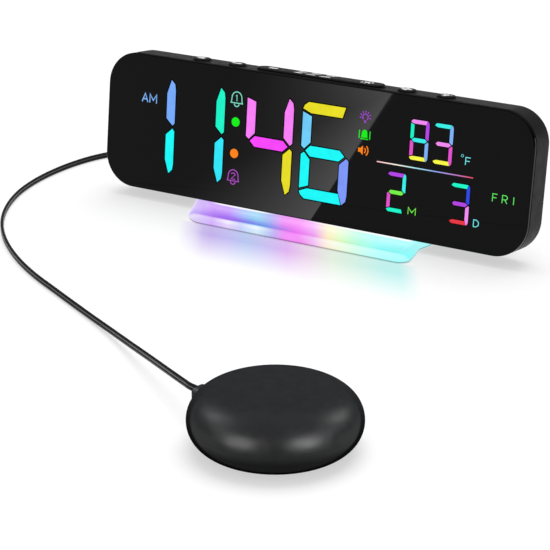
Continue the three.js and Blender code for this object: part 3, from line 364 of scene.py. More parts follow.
# Painted highlights: white spots along the lip, and how far back from the front they reach
LIP_HIGHLIGHTS = [
    (0.03, 0.45), (0.12, 0.35), (0.19, 0.85), (0.25, 0.5), (0.32, 0.8), (0.4, 0.2), (0.47, 0.05), (0.57, 0.3),
    (0.66, 0.55), (0.8, 0.3), (0.95, 0.2),
]
LIP_HIGHLIGHT_REACH = [(0.0, 0.7), (0.06, 1.0), (0.15, 1.0), (0.22, 0.0)]

# Gloss of the shaker by height and by angle
PUCK_GLOSS = [(0.3, 0.04), (0.42, 0.16), (0.58, 0.15), (0.96, 0.0)]
EDGE_GLOSS = [(0.36, 1.0), (0.66, 0.0)]

# Colours along the divider, and of the lit signs
DIVIDER_GLOW = [
    (0.0, srgb(255, 190, 205)), (0.2, srgb(255, 245, 225)), (0.4, srgb(165, 235, 235)),
    (0.6, srgb(135, 165, 235)), (0.8, srgb(185, 125, 205)), (1.0, srgb(225, 65, 80)),
]
LIT_COLOURS = {
    "ice": srgb(115, 228, 232), "sky": srgb(125, 178, 245), "blue": srgb(118, 170, 250),
    "aqua": srgb(45, 230, 248), "cyan": srgb(18, 248, 248), "teal": srgb(20, 245, 200),
    "turquoise": srgb(55, 238, 228), "mint": srgb(130, 225, 200), "plum": srgb(170, 75, 190),
    "orchid": srgb(250, 127, 248), "magenta": srgb(248, 68, 250), "yellow": srgb(233, 222, 32),
    "lemon": srgb(250, 250, 70), "azure": srgb(110, 204, 248), "periwinkle": srgb(124, 150, 248),
    "pink": srgb(240, 138, 240), "rose": srgb(228, 82, 205), "green": srgb(8, 240, 15),
    "leaf": srgb(95, 225, 95), "lime": srgb(118, 238, 70), "orange": srgb(255, 132, 10),
    "purple": srgb(178, 66, 228), "red": srgb(230, 52, 66), "deep_blue": srgb(46, 72, 222),
}

# Floor, the base's light painted on it, and sky
FLOOR_HALF_WIDTH = 60
FLOOR_DROP = 0.05 * MM
FLOOR_BOUNCE = 0.15
FLOOR_SHOWN = 0.44
FLOOR_LIFT = 0.58
# The base's light painted on the floor: its reach ahead, its half width, its ends, its fade and its colours
SPILL_REACH = 50 * MM
SPILL_HALF_WIDTH = (BASE_WIDTH / 2 + 8) * MM
SPILL_ENDS = [(0.08, 0.0), (0.18, 1.0), (0.93, 1.0), (1.0, 0.0)]
SPILL_FADE = [(0.0, 0.0), (0.012, 0.85), (0.24, 1.0), (0.56, 0.55), (0.85, 0.12), (1.0, 0.0)]
PAINTED_FLOOR_GLOW = [
    (0.14, srgb(215, 200, 246)), (0.21, srgb(200, 180, 240)), (0.28, srgb(199, 192, 247)),
    (0.35, srgb(188, 204, 246)), (0.43, srgb(206, 196, 247)), (0.51, srgb(229, 182, 246)),
    (0.59, srgb(240, 216, 238)), (0.68, srgb(232, 245, 228)), (0.78, srgb(216, 247, 235)),
    (0.88, srgb(196, 248, 245)),
]
HORIZON_LIGHT = 0.08
ZENITH_LIGHT = 0.98
SKY_POWER = 2.0

# The even light from above, and the backdrop that the casing mirrors
SUN_POWER = 1.8
SUN_ANGLE = math.radians(50)
SUN_WAY = Vector((0.1, -0.4, -1.15))
BACKDROP_SPOT = Vector((-0.58, 1.05, 0.13))
BACKDROP_TARGET = Vector((0, 0, 0.07))
BACKDROP_SIZE = (1.4, 0.5)
BACKDROP_POWER = 0.6

# The lamps that make the spots on the shaker: each one's azimuth, elevation, size and watts
PUCK = Vector(SHAKER_SPOT) * MM
PUCK_LAMP_DISTANCE = 0.8
PUCK_LAMPS = {
    "front": (-14, 17, (0.4, 0.5), 11.8),
    "left": (-50, 33, (0.3, 0.3), 1.6),
    "left_shoulder": (-88, 43, (0.3, 0.3), 4.5),
    "right": (71, 21, (0.38, 0.5), 14.6),
    "right_side": (113, 33, (0.3, 0.3), 1.4),
    "right_shoulder": (150, 39, (0.3, 0.3), 4.8),
}

# The lit card that the face mirrors: the corners of its reflection there, its height and its fade
CARD_CORNERS = ((-86.4, 0.5), (4.6, 0.5), (44.7, 69.9), (-46.3, 69.9))
CARD_HEIGHT = 2 * MM
CARD_POWER = 7.2
CARD_FADE = 2.0


def space(origin, turn=0.0, tilt=0.0):
    """Takes millimetres of one assembly's own frame to the row frame's metres."""
    rotation = Matrix.Rotation(turn, 4, "Z") @ Matrix.Rotation(tilt, 4, "X")
    return Matrix.Scale(MM, 4) @ Matrix.Translation(origin) @ rotation


CLOCK = space((0, CLOCK_FRONT_Y, CLOCK_LIFT), tilt=-LEAN)
TABLE = space((0, 0, 0))
SHAKER = space(SHAKER_SPOT, turn=SHAKER_TURN)
FACE = CLOCK @ Matrix.Rotation(math.pi / 2, 4, "X")
UPSIDE_DOWN = Matrix.Rotation(math.pi, 4, "X")


def at(x, y, z):
    return Matrix.Translation((x, y, z))


def from_behind(x, z, depth=0):
    """A place in the clock whose upright axis points to the back."""
    return at(x, depth, z) @ Matrix.Rotation(-math.pi / 2, 4, "X")


def placed(name, data):
    """A new object in the scene."""
    thing = bpy.data.objects.new(name, data)
    bpy.context.scene.collection.objects.link(thing)
    return thing


def add_camera():
    data = bpy.data.cameras.new("camera")
    data.lens = CAMERA_LENS
    data.sensor_width = SENSOR_WIDTH
    camera = placed("camera", data)
    axes = (CAMERA_RIGHT, CAMERA_UP, CAMERA_RIGHT.cross(CAMERA_UP))
    camera.matrix_world = Matrix.Translation(CAMERA_SPOT) @ Matrix(axes).transposed().to_4x4()
    bpy.context.scene.camera = camera


# Outlines and meshes


def on_circle(middle, radius, angle):
    turn = math.radians(angle)
    return middle[0] + radius * math.cos(turn), middle[1] + radius * math.sin(turn)


def arc(middle, radius, start, end, steps):
    """Points of an arc, its angles in degrees."""
    return [on_circle(middle, radius, start + (end - start) * step / steps) for step in range(steps + 1)]


def rounded(width, height, radius, middle=(0, 0), steps=CORNER_STEPS, inset=0):
    """A rounded rectangle drawn in by an inset, counter-clockwise, with as many points at any size."""
    x, y = width / 2 - radius, height / 2 - radius
    corners = ((x, y, 0), (-x, y, 90), (-x, -y, 180), (x, -y, 270))
    return [
        point for cx, cy, start in corners
        for point in arc((middle[0] + cx, middle[1] + cy), radius - inset, start, start + 90, steps)
    ]


def circle(middle, radius, steps=ROUND_STEPS):
    return arc(middle, radius, 0, 360, steps)[:-1]


def quarter(radius, steps=EDGE_STEPS):
    """A rounded edge as (inset, drop) pairs, from the side to the flat."""
    return [(radius - x, radius - y) for x, y in arc((0, 0), radius, 0, 90, steps)]


def top_edge(radius, height, size):
    """The rounded upper edge of a turned profile, from the side to the flat."""
    return [(radius - inset, height - drop) for inset, drop in quarter(size)]


def low_edge(radius, height, size):
    """The rounded lower edge of a turned profile, from the flat to the side."""
    return [(radius - inset, height + drop) for inset, drop in reversed(quarter(size))]


def sideways(path, closed=False):
    """At each point, the left-hand offset that keeps an even width through the bend."""
    points = [Vector(point) for point in path]
    along = [(b - a).normalized() for a, b in zip(points, points[1:] + points[:1])]
    if not closed:
        along[-1] = along[-2]
    before = [along[-1] if closed else along[0], *along[:-1]]
    offsets = []
    for last, this in zip(before, along):
        normal = (last + this).normalized().orthogonal()
        offsets.append(normal / max(normal.dot(last.orthogonal()), MITRE_LIMIT))
    return offsets


def grown(outline, distance):
    """A counter-clockwise outline moved outwards by a distance."""
    return [Vector(p) - side * distance for p, side in zip(outline, sideways(outline, closed=True))]


def level(outline, height):
    """An x-y outline at a height."""
    return [(x, y, height) for x, y in outline]


def upright(outline, depth):
    """An x-z outline at a depth."""
    return [(x, depth, z) for x, z in outline]


def loft(rings, closed=False):
    """Faces through rings with equal counts. The ends are capped, or joined if it is closed."""
    shape = bmesh.new()
    rows = [[shape.verts.new(point) for point in ring] for ring in rings]
    for low, high in zip(rows, rows[1:] + rows[:1] if closed else rows[1:]):
        for i in range(len(low)):
            j = (i + 1) % len(low)
            shape.faces.new((low[i], low[j], high[j], high[i]))
    if not closed:
        shape.faces.new(reversed(rows[0]))
        shape.faces.new(rows[-1])
    return shape


def turned(profile, steps=ROUND_STEPS, closed=False):
    """A profile of (radius, height) pairs turned about the upright axis."""
    return loft([level(circle((0, 0), radius, steps), height) for radius, height in profile], closed)


def slab(outline, low, high):
    return loft([level(outline, low), level(outline, high)])


def block(x0, x1, y0, y1, z0, z1):
    return slab([(x0, y0), (x1, y0), (x1, y1), (x0, y1)], z0, z1)


def rod(radius, low, high, steps=ROUND_STEPS):
    return turned([(radius, low), (radius, high)], steps)


def ribbon(path, width, low, high, closed=False):
    """A flat stroke of even width along a path."""
    rings = []
    for point, side in zip(path, sideways(path, closed)):
        left = Vector(point) + side * width / 2
        right = Vector(point) - side * width / 2
        rings.append([(*left, low), (*left, high), (*right, high), (*right, low)])
    return loft(rings, closed)


def moved(shape, matrix):
    shape.transform(matrix)
    return shape


def gather(parts):
    """One mesh from (material number, mesh) pairs."""
    whole = bmesh.new()
    for number, part in parts:
        bmesh.ops.recalc_face_normals(part, faces=part.faces)
        for face in part.faces:
            face.material_index = number
        copy = bpy.data.meshes.new("part")
        part.to_mesh(copy)
        part.free()
        whole.from_mesh(copy)
        bpy.data.meshes.remove(copy)
    return whole


def solid(shape):
    bmesh.ops.recalc_face_normals(shape, faces=shape.faces)
    mesh = bpy.data.meshes.new("solid")
    shape.to_mesh(mesh)
    shape.free()
    return placed("solid", mesh)


def combined(thing, operation, parts):
    """The solid after joining or cutting it by the parts."""
    tool = solid(gather([(0, part) for part in parts]))
    step = thing.modifiers.new("combine", "BOOLEAN")
    step.operation = operation
    step.solver = "EXACT"
    step.object = tool
    ready = thing.evaluated_get(bpy.context.evaluated_depsgraph_get())
    mesh = bpy.data.meshes.new_from_object(ready)
    thing.modifiers.clear()
    old = thing.data
    thing.data = mesh
    bpy.data.meshes.remove(old)
    bpy.data.objects.remove(tool)
    return thing


def piece(name, thing, where, slot, body="body", replaces=(), materials=None):
    """Puts a solid in its place in the row frame and says what it is."""
    thing.name = name
    thing.data.name = name
    thing.data.transform(where)
    for material in materials or [SLOT_MATERIALS[slot]]:
        thing.data.materials.append(material)
    thing.data.shade_smooth()
    thing.data.set_sharp_from_angle(angle=SHARP_ANGLE)
    normals = thing.modifiers.new("normals", "WEIGHTED_NORMAL")
    normals.keep_sharp = True
    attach(thing, body)
    if replaces:
        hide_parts(*replaces)
    return thing


# Materials


def feed(tree, target, inputs):
    """Sets a node's inputs by name or number, from sockets or plain values."""
    for name, value in dict(inputs).items():
        if isinstance(value, bpy.types.NodeSocket):
            tree.links.new(value, target.inputs[name])
        else:
            target.inputs[name].default_value = value


def node(tree, kind, inputs=(), **settings):
    """The outputs of a new shader node."""
    made = tree.nodes.new(f"ShaderNode{kind}")
    for name, value in settings.items():
        setattr(made, name, value)
    feed(tree, made, inputs)
    return made.outputs


def new_material(name):
    material = bpy.data.materials.new(name)
    material.use_nodes = True
    return material, material.node_tree, material.node_tree.nodes["Principled BSDF"]


def grey(value):
    return (value, value, value, 1)


def ramp(tree, value, stops):
    """A colour ramp of (place, colour) stops."""
    made = tree.nodes.new("ShaderNodeValToRGB")
    elements = made.color_ramp.elements
    while len(elements) < len(stops):
        elements.new(0.5)
    for element, (place, colour) in zip(elements, stops):
        element.position = place
        element.color = colour
    feed(tree, made, {"Fac": value})
    return made.outputs["Color"]


def grey_ramp(tree, value, stops):
    """A ramp of (place, value) stops."""
    return ramp(tree, value, [(place, grey(share)) for place, share in stops])


def calculated(tree, operation, value, *others):
    """One value from several, taken in turn."""
    for other in others:
        value = node(tree, "Math", enumerate((value, other)), operation=operation)["Value"]
    return value


def dimmed(tree, colour, share):
    """A colour brought down to a share of itself."""
    return node(tree, "VectorMath", {0: colour, "Scale": share}, operation="SCALE")["Vector"]


def mixed(tree, share, first, second):
    """A colour between two, which are sockets or plain colours."""
    return node(tree, "Mix", {"Factor": share, "A": first, "B": second}, data_type="RGBA")["Result"]


def axis_value(tree, axis, coordinates="Object"):
    """One coordinate of a point: in metres on a piece."""
    return node(tree, "SeparateXYZ", {"Vector": node(tree, "TexCoord")[coordinates]})[axis]


def between(tree, value, start, end, low=0.0, high=1.0):
    """A value brought from the range between start and end to the one between low and high."""
    limits = {"From Min": start, "From Max": end, "To Min": low, "To Max": high}
    return node(tree, "MapRange", {"Value": value, **limits})["Result"]


def place_value(tree, axis, start, end):
    """Goes from 0 at start to 1 at end along an axis of the piece, in metres."""
    return between(tree, axis_value(tree, axis), start, end)


def noise(tree, scale, stretch=(1, 1, 1), detail=3.0):
    """Noise in the piece's own coordinates, its scale in features per metre."""
    place = node(tree, "Mapping", {"Vector": node(tree, "TexCoord")["Object"], "Scale": stretch})["Vector"]
    return node(tree, "TexNoise", {"Vector": place, "Scale": scale, "Detail": detail})["Fac"]


def spread(tree, value, low, high):
    """Noise brought to the range from low to high."""
    return between(tree, value, *NOISE_RANGE, low, high)


def surface(name, colour, roughness, grain, bump, metallic=0.0, specular=0.5, stretch=(1, 1, 1), shift=0.12):
    """A moulded, plated or pressed surface: fine grain, with slow drifts of colour and gloss."""
    material, tree, shader = new_material(name)
    drift = noise(tree, grain / DRIFT_LENGTH, stretch)
    tones = [(place, (*(c * (1 + side * shift) for c in colour), 1)) for place, side in TONE_STOPS]
    relief = node(tree, "Bump", {"Strength": bump, "Distance": RELIEF, "Height": noise(tree, grain, stretch)})
    feed(tree, shader, {
        "Base Color": ramp(tree, drift, tones),
        "Roughness": spread(tree, drift, roughness * (1 - GLOSS_DRIFT), roughness * (1 + GLOSS_DRIFT)),
        "Metallic": metallic, "Specular IOR Level": specular, "Normal": relief["Normal"],
    })
    return material


def add_gloss_band(material):
    """More gloss round the shaker's side than on its top and underside, and none at a grazing angle."""
    tree = material.node_tree
    side = grey_ramp(tree, place_value(tree, "Z", 0, SHAKER_HEIGHT * MM), PUCK_GLOSS)
    edge = grey_ramp(tree, node(tree, "LayerWeight")["Facing"], EDGE_GLOSS)
    gloss = calculated(tree, "MULTIPLY", side, edge)
    feed(tree, tree.nodes["Principled BSDF"], {"Specular IOR Level": gloss})


def lamp_surface(name, colour):
    """A lit sign: its own light, a little uneven as through a diffuser."""
    material, tree, shader = new_material(name)
    feed(tree, shader, {
        "Base Color": grey(SIGN_GREY), "Roughness": 0.4, "Specular IOR Level": 0.1, "Emission Color": colour,
        "Emission Strength": spread(tree, noise(tree, SIGN_GRAIN, detail=1.0), 0.94, 1.04),
    })
    return material


def band_place(tree, half_width, pivot):
    """Goes from 0 to 1 across the base's bands of colour, which lean to the right towards the front."""
    behind = calculated(tree, "SUBTRACT", axis_value(tree, "Y"), pivot)
    slid = calculated(tree, "MULTIPLY", behind, BAND_SLANT)
    return between(tree, calculated(tree, "ADD", axis_value(tree, "X"), slid), -half_width, half_width)


def base_glow():
    """The lit base: bands of colour from end to end, white under the clock, painted highlights in white spots
    on the lip, and painted shade in the groove and at the foot.
    """
    material, tree, shader = new_material("base_glow")
    across = band_place(tree, BASE_WIDTH / 2 * MM, BASE_PIVOT)
    towards = place_value(tree, "Y", -BASE_DEPTH / 2 * MM, GLOW_BACK)
    foot = place_value(tree, "Z", 0, FOOT_SHADE_TOP)
    # The white spots on the lip are painted highlights
    lip = grey_ramp(tree, towards, LIP_HIGHLIGHT_REACH)
    spots = calculated(tree, "MULTIPLY", lip, grey_ramp(tree, across, LIP_HIGHLIGHTS))
    line = calculated(tree, "MULTIPLY", place_value(tree, "Z", *BROW), grey_ramp(tree, across, RISER_WHITE))
    white = calculated(tree, "MAXIMUM", spots, grey_ramp(tree, towards, PLATE_WHITE), line)
    # The groove along the front gets darker colours, as painted shade
    groove_shade = grey_ramp(tree, towards, CREASE_SHADE_REACH)
    colour = mixed(tree, groove_shade, ramp(tree, across, BASE_GLOW), ramp(tree, across, CREASE_SHADE_COLOURS))
    uneven = spread(tree, noise(tree, PLATE_GRAIN, detail=1.0), 0.9, 1.0)
    # The plate's light dips at the groove, as painted shade
    plate = grey_ramp(tree, towards, GROOVE_DIMMING)
    # The foot's light is dimmed as a painted contact shadow
    power = calculated(tree, "MULTIPLY", uneven, plate, grey_ramp(tree, foot, FOOT_SHADE))
    feed(tree, shader, {
        "Base Color": (0.1, 0.1, 0.11, 1), "Roughness": 0.25, "Specular IOR Level": 0.15,
        "Emission Color": mixed(tree, white, colour, WHITE), "Emission Strength": power,
    })
    return material


def divider_glow():
    material, tree, shader = new_material("divider_glow")
    middle, half = DIVIDER_SPOT[0] * MM, DIVIDER_SIZE[0] / 2 * MM
    place = place_value(tree, "X", middle - half, middle + half)
    colour = ramp(tree, place, DIVIDER_GLOW)
    feed(tree, shader, {"Base Color": grey(SIGN_GREY), "Emission Color": colour, "Emission Strength": 1})
    return material


SLOT_MATERIALS = {
    "lens": surface("smoked_panel", (0.0006, 0.0006, 0.0007), 0.02, 900, 0.0, specular=0.1),
    "housing": surface("moulded_black", (0.0155, 0.0155, 0.016), 0.45, 2600, 0.22, specular=0.08),
    "button": surface("key_black", (0.008, 0.008, 0.0085), 0.4, 3000, 0.15, specular=0.25),
    "reflector": surface("moulded_white", (0.8, 0.8, 0.78), 0.5, 2000, 0.1),
    "board": surface("solder_mask", (0.02, 0.12, 0.05), 0.35, 1200, 0.1),
    "glow": base_glow(),
    "rubber": surface("pad_rubber", (0.02, 0.02, 0.02), 0.8, 2200, 0.4),
    "switch": surface("switch_black", (0.02, 0.02, 0.02), 0.5, 2200, 0.2),
    "steel": surface("plated_steel", (0.55, 0.56, 0.58), 0.28, 3000, 0.1, metallic=1, stretch=(1, 1, 9)),
    "magnet": surface("sintered", (0.12, 0.12, 0.13), 0.55, 1800, 0.3, metallic=0.7),
    "paper": surface("pressed_paper", (0.04, 0.038, 0.036), 0.85, 1500, 0.5),
    "brass": surface("brass", (0.6, 0.4, 0.12), 0.25, 3000, 0.08, metallic=1, stretch=(1, 1, 7)),
    "shaker": surface("eroded_black", (0.026, 0.0267, 0.0283), 0.38, 3200, 0.3, shift=0.06),
    "cord": surface("cord_black", (0.003, 0.003, 0.0033), 0.28, 1600, 0.12, specular=0.3),
}
add_gloss_band(SLOT_MATERIALS["shaker"])
BACKING = surface("display_mask", (0.0012, 0.0012, 0.0013), 0.6, 1500, 0.05, specular=0.02)
PRINT = surface("white_print", (0.85, 0.85, 0.85), 0.5, 2500, 0.1, shift=0.04)

LIT_MATERIALS = {name: lamp_surface(f"lit_{name}", colour) for name, colour in LIT_COLOURS.items()}
LIT_MATERIALS["divider"] = divider_glow()


# Cord


def smooth_path(points, steps):
    """Points on the centripetal curve through the given ones."""
    line = [Vector(point) for point in points]
    line = [2 * line[0] - line[1], *line, 2 * line[-1] - line[-2]]
    path = []
    for before, start, end, after in zip(line, line[1:], line[2:], line[3:]):
        t0 = (start - before).length ** 0.5
        t1 = (end - start).length ** 0.5
        t2 = (after - end).length ** 0.5
        leave = ((start - before) / t0 - (end - before) / (t0 + t1) + (end - start) / t1) * t1
        arrive = ((end - start) / t1 - (after - start) / (t1 + t2) + (after - end) / t2) * t1
        for step in range(steps):
            t = step / steps
            path.append(
                start * (2 * t ** 3 - 3 * t ** 2 + 1) + leave * (t ** 3 - 2 * t ** 2 + t)
                + end * (3 * t ** 2 - 2 * t ** 3) + arrive * (t ** 3 - t ** 2))
    return [*path, Vector(points[-1])]


def add_cord(plug):
    """A twin lead on its edge: two round conductors' sheaths with a groove between them."""
    rise = CORD_HEIGHT / 2 - CORD_LOBE
    neck = math.degrees(math.asin(rise / CORD_LOBE))
    section = arc((0, rise), CORD_LOBE, -neck, 180 + neck, 12)[:-1]
    section += arc((0, -rise), CORD_LOBE, 180 - neck, 360 + neck, 12)[:-1]
    path = smooth_path(CORD_ROUTE[::-1], CORD_STEPS)
    rings = []
    for i, point in enumerate(path):
        along = (path[min(i + 1, len(path) - 1)] - path[max(i - 1, 0)]).normalized()
        across = along.cross(Vector((0, 0, 1))).normalized()
        top = across.cross(along)
        rings.append([point + across * x + top * y for x, y in section])
    cord = piece("twin_lead", solid(loft(rings)), TABLE, "cord", replaces=["shaker_cord"])
    cord.visible_glossy = False


def ribbed(start, end, count, depth):
    """Heights and dips of shallow grooves between two heights, as (height, dip) pairs."""
    pitch = (end - start) / count
    pairs = []
    for i in range(count):
        low = start + i * pitch
        pairs += [(low + place * pitch, share * depth) for place, share in RIB_SHAPE]
    return [*pairs, (end, 0)]


def add_plug():
    profile = [(AXIS_RADIUS, PLUG_START)]
    profile += low_edge(PLUG_RADIUS, PLUG_START, PLUG_EDGE)
    profile += [(PLUG_RADIUS - dip, depth) for depth, dip in ribbed(*PLUG_RIBS)]
    for depth, dip in ribbed(*SLEEVE_RIBS):
        share = (depth - PLUG_SHOULDER) / (PLUG_TIP - PLUG_SHOULDER)
        profile.append((PLUG_RADIUS + (PLUG_TIP_RADIUS - PLUG_RADIUS) * share - dip, depth))
    profile += [(PLUG_TIP_RADIUS, PLUG_TIP - BREAK), (PLUG_TIP_RADIUS - BREAK, PLUG_TIP)]
    where = CLOCK @ from_behind(SHAKER_SOCKET_X, SOCKET_HEIGHT)
    return piece("lead_plug", solid(turned(profile, steps=48)), where, "cord", replaces=["shaker_plug"])


# Clock


def face_ring(inset, depth):
    outline = rounded(FACE_WIDTH, FACE_HEIGHT, FACE_CORNER, (0, FACE_MIDDLE), inset=inset)
    return upright(outline, depth)


def button_outline(x, grow):
    return circle((x, BUTTON_DEPTH), BUTTON_RADIUS + grow)


def snooze_outline(x, grow):
    return rounded(SNOOZE_LENGTH, SNOOZE_WIDTH, SNOOZE_WIDTH / 2, (x, BUTTON_DEPTH), inset=-grow)


BUTTONS = {
    "alarm": (-69, button_outline, BUTTON_TOP), "down": (-48, button_outline, BUTTON_TOP),
    "snooze": (0, snooze_outline, SNOOZE_TOP), "up": (48, button_outline, BUTTON_TOP),
    "light": (69, button_outline, BUTTON_TOP),
}
COVER_SCREWS = [(x, FACE_MIDDLE + z) for z in (-COVER_SCREW_RISE, COVER_SCREW_RISE)
                for x in (-COVER_SCREW_X, COVER_SCREW_X)]


def add_lens():
    rings = [face_ring(BREAK, LENS_THICKNESS), face_ring(0, LENS_THICKNESS - BREAK)]
    rings += [face_ring(inset, drop) for inset, drop in quarter(LENS_EDGE)]
    piece("face_panel", solid(loft(rings)), CLOCK, "lens", replaces=["front_lens"])


def add_housing():
    rings = [face_ring(HOUSING_BREAK, HOUSING_FRONT), face_ring(0, HOUSING_FRONT + HOUSING_BREAK)]
    rings += [face_ring(inset, HOUSING_BACK - drop) for inset, drop in quarter(HOUSING_EDGE)]
    rings += [face_ring(HOUSING_WALL - BREAK, HOUSING_BACK), face_ring(HOUSING_WALL, HOUSING_BACK - BREAK)]
    rings += [face_ring(HOUSING_WALL, HOUSING_FRONT)]
    low, high = FACE_HEIGHT - HOUSING_WALL - OVERSHOOT, FACE_HEIGHT + OVERSHOOT
    holes = [slab(outline(x, GAP), low, high) for x, outline, _ in BUTTONS.values()]
    shell = combined(solid(loft(rings, closed=True)), "DIFFERENCE", holes)
    piece("casing", shell, CLOCK, "housing", replaces=["main_housing"])


def add_buttons():
    for name, (x, outline, top) in BUTTONS.items():
        rings = [level(outline(x, FLANGE_REACH), height) for height in (FLANGE_BOTTOM, FLANGE_TOP)]
        rings += [level(outline(x, 0), FLANGE_TOP)]
        rings += [level(outline(x, -inset), top - drop) for inset, drop in quarter(BUTTON_EDGE)]
        cap = solid(loft(rings))
        piece(f"{name}_cap", cap, CLOCK, "button", body=f"{name}_key", replaces=[f"{name}_button"])


def bulge_ring(inset, depth):
    outline = rounded(BULGE_WIDTH, BULGE_HEIGHT, BULGE_CORNER, (0, FACE_MIDDLE), inset=inset)
    return upright(outline, depth)


def grille_slots():
    slots = []
    rows = int(GRILLE_REACH / GRILLE_PITCH)
    for row in range(-rows, rows + 1):
        rise = row * GRILLE_PITCH
        length = 2 * math.sqrt(GRILLE_REACH ** 2 - rise ** 2)
        outline = rounded(length, GRILLE_SLOT, GRILLE_SLOT / 2, (SPEAKER_X, FACE_MIDDLE + rise), steps=6)
        slots.append(loft([upright(outline, depth) for depth in BULGE_CUT]))
    return slots


def add_rear_cover():
    plate_inset = HOUSING_WALL + GAP
    rings = [bulge_ring(BULGE_WALL, BULGE_BACK - BULGE_WALL), bulge_ring(BULGE_WALL, COVER_FRONT)]
    rings += [face_ring(plate_inset, COVER_FRONT)]
    rings += [face_ring(plate_inset + inset, HOUSING_BACK - drop) for inset, drop in quarter(COVER_EDGE)]
    foot = HOUSING_BACK + BULGE_FOOT
    rings += [bulge_ring(-inset, foot - drop) for drop, inset in reversed(quarter(BULGE_FOOT))]
    rings += [bulge_ring(inset, BULGE_BACK - drop) for inset, drop in quarter(BULGE_EDGE)]
    holes = [(x, SOCKET_HEIGHT, nose + GAP, *BULGE_CUT) for _, x, nose, _ in SOCKETS.values()]
    holes += [(DOOR_X, FACE_MIDDLE, DOOR_RADIUS + GAP, DOOR_FRONT - DOOR_PLAY, BULGE_BACK + OVERSHOOT)]
    sink = (SINK_RADIUS, HOUSING_BACK - SINK_DEPTH, HOUSING_BACK + OVERSHOOT)
    holes += [(x, z, *sink) for x, z in COVER_SCREWS]
    cuts = grille_slots()
    cuts += [moved(rod(*size), from_behind(x, z)) for x, z, *size in holes]
    cover = combined(solid(loft(rings)), "DIFFERENCE", cuts)
    piece("back_cover", cover, CLOCK, "housing", replaces=["rear_cover"])


def add_screw(name, replaced, where, length):
    """A cross-head screw whose head's top lies at the origin, facing up."""
    neck = -SCREW_HEAD_THICKNESS
    tip = neck - length
    profile = [(AXIS_RADIUS, tip), (SCREW_RADIUS, tip + SCREW_POINT), (SCREW_RADIUS, neck)]
    profile += [(SCREW_HEAD_RADIUS, neck), *top_edge(SCREW_HEAD_RADIUS, 0, SCREW_EDGE)]
    screw = solid(turned(profile, steps=32))
    for x, y in (CROSS, CROSS[::-1]):
        screw = combined(screw, "DIFFERENCE", [block(-x, x, -y, y, -CROSS_DEPTH, OVERSHOOT)])
    piece(name, screw, where, "steel", replaces=[replaced])


def add_screws():
    for i, (x, z) in enumerate(COVER_SCREWS, 1):
        where = CLOCK @ from_behind(x, z, HOUSING_BACK)
        add_screw(f"cover_screw_{i}", f"rear_cover_screw_{i}", where, COVER_SCREW_LENGTH)
    for i, x in enumerate((-BASE_SCREW_X, BASE_SCREW_X), 1):
        where = CLOCK @ at(x, BASE_SCREW_DEPTH, BASE_SCREW_FOOT) @ UPSIDE_DOWN
        add_screw(f"foot_screw_{i}", f"base_screw_{i}", where, BASE_SCREW_LENGTH)
    for i, (x, y) in enumerate(shaker_screws(), 1):
        where = SHAKER @ at(x, y, SHAKER_FOOT_LIFT) @ UPSIDE_DOWN
        add_screw(f"puck_screw_{i}", f"shaker_screw_{i}", where, SHAKER_SCREW_LENGTH)


def add_door():
    inner, outer = DOOR_GROOVE
    shallow = BULGE_BACK - BREAK
    profile = [(AXIS_RADIUS, DOOR_FRONT), (DOOR_RADIUS, DOOR_FRONT)]
    profile += top_edge(DOOR_RADIUS, BULGE_BACK, COVER_EDGE)
    profile += [(outer, BULGE_BACK), (outer - BREAK, shallow), (inner + BREAK, shallow), (inner, BULGE_BACK)]
    profile += [(AXIS_RADIUS, BULGE_BACK)]
    length, width, depth = DOOR_SLOT
    slot = slab(rounded(length, width, width / 2, steps=6), BULGE_BACK - depth, BULGE_BACK + OVERSHOOT)
    width, length = DOOR_MARK
    outline = rounded(width, length, width / 2, (0, DOOR_MARK_RISE), steps=4)
    mark = slab(outline, shallow, BULGE_BACK + OVERSHOOT)
    door = combined(solid(turned(profile)), "DIFFERENCE", [slot, mark])
    where = CLOCK @ from_behind(DOOR_X, FACE_MIDDLE)
    piece("coin_door", door, where, "housing", body="door", replaces=["battery_door"])


def add_sockets():
    for name, (replaced, x, nose, bore) in SOCKETS.items():
        profile = [(bore, SOCKET_FLOOR), (bore, BULGE_BACK - COVER_EDGE), (bore + COVER_EDGE, BULGE_BACK)]
        profile += [*reversed(top_edge(nose, BULGE_BACK, COVER_EDGE)), (nose, SOCKET_FLOOR)]
        where = CLOCK @ from_behind(x, SOCKET_HEIGHT)
        piece(name, solid(turned(profile, closed=True)), where, "switch", replaces=[replaced])


# Display


def segment_outlines(width, height, stroke):
    """Seven-segment outlines in a cell with its left edge and its middle at the origin."""
    right, half = width / stroke, height / stroke / 2
    upper = {
        "a": [(0, half - 0.69), (0.9, half - 1.05), (right - 0.94, half - 1.05), (right - 0.62, half),
              (0.6, half), (0.17, half - 0.33)],
        "b": [(right - 1, 0.85), (right - 0.25, 0.17), (right, 0.4), (right, half - 1),
              (right - 0.1, half - 0.4), (right - 0.52, half), (right - 1, half - 1.4)],
        "f": [(0, 0.42), (0.33, 0.17), (1, 0.85), (1, half - 1.37), (0, half - 1)],
        "tall_f": [(0, 0.42), (0.33, 0.17), (1, 0.85), (1, half - 0.82), (0, half - 0.52)],
        "g": [(0.48, 0), (1.02, -0.53), (right - 1.1, -0.53), (right - 0.5, 0), (right - 1.05, 0.53),
              (1.02, 0.53)],
    }
    lower = {low: [(x, -y) for x, y in reversed(upper[high])] for low, high in ("cb", "da", "ef")}
    outlines = {**upper, **lower}
    for key, points in outlines.items():
        outlines[key] = [((x - DIGIT_LEAN * y) * stroke, y * stroke) for x, y in points]
    return outlines


def strokes(paths, width, closed=False):
    return [ribbon(path, width, -MARK_SINK, LIT_TOP, closed) for path in paths]


def filled(outline, top=LIT_TOP):
    return [slab(outline, -MARK_SINK, top)]


def boxed(points, x, y, width, height):
    """Points of a unit box brought to a corner, a width and a height."""
    return [(x + u * width, y + v * height) for u, v in points]


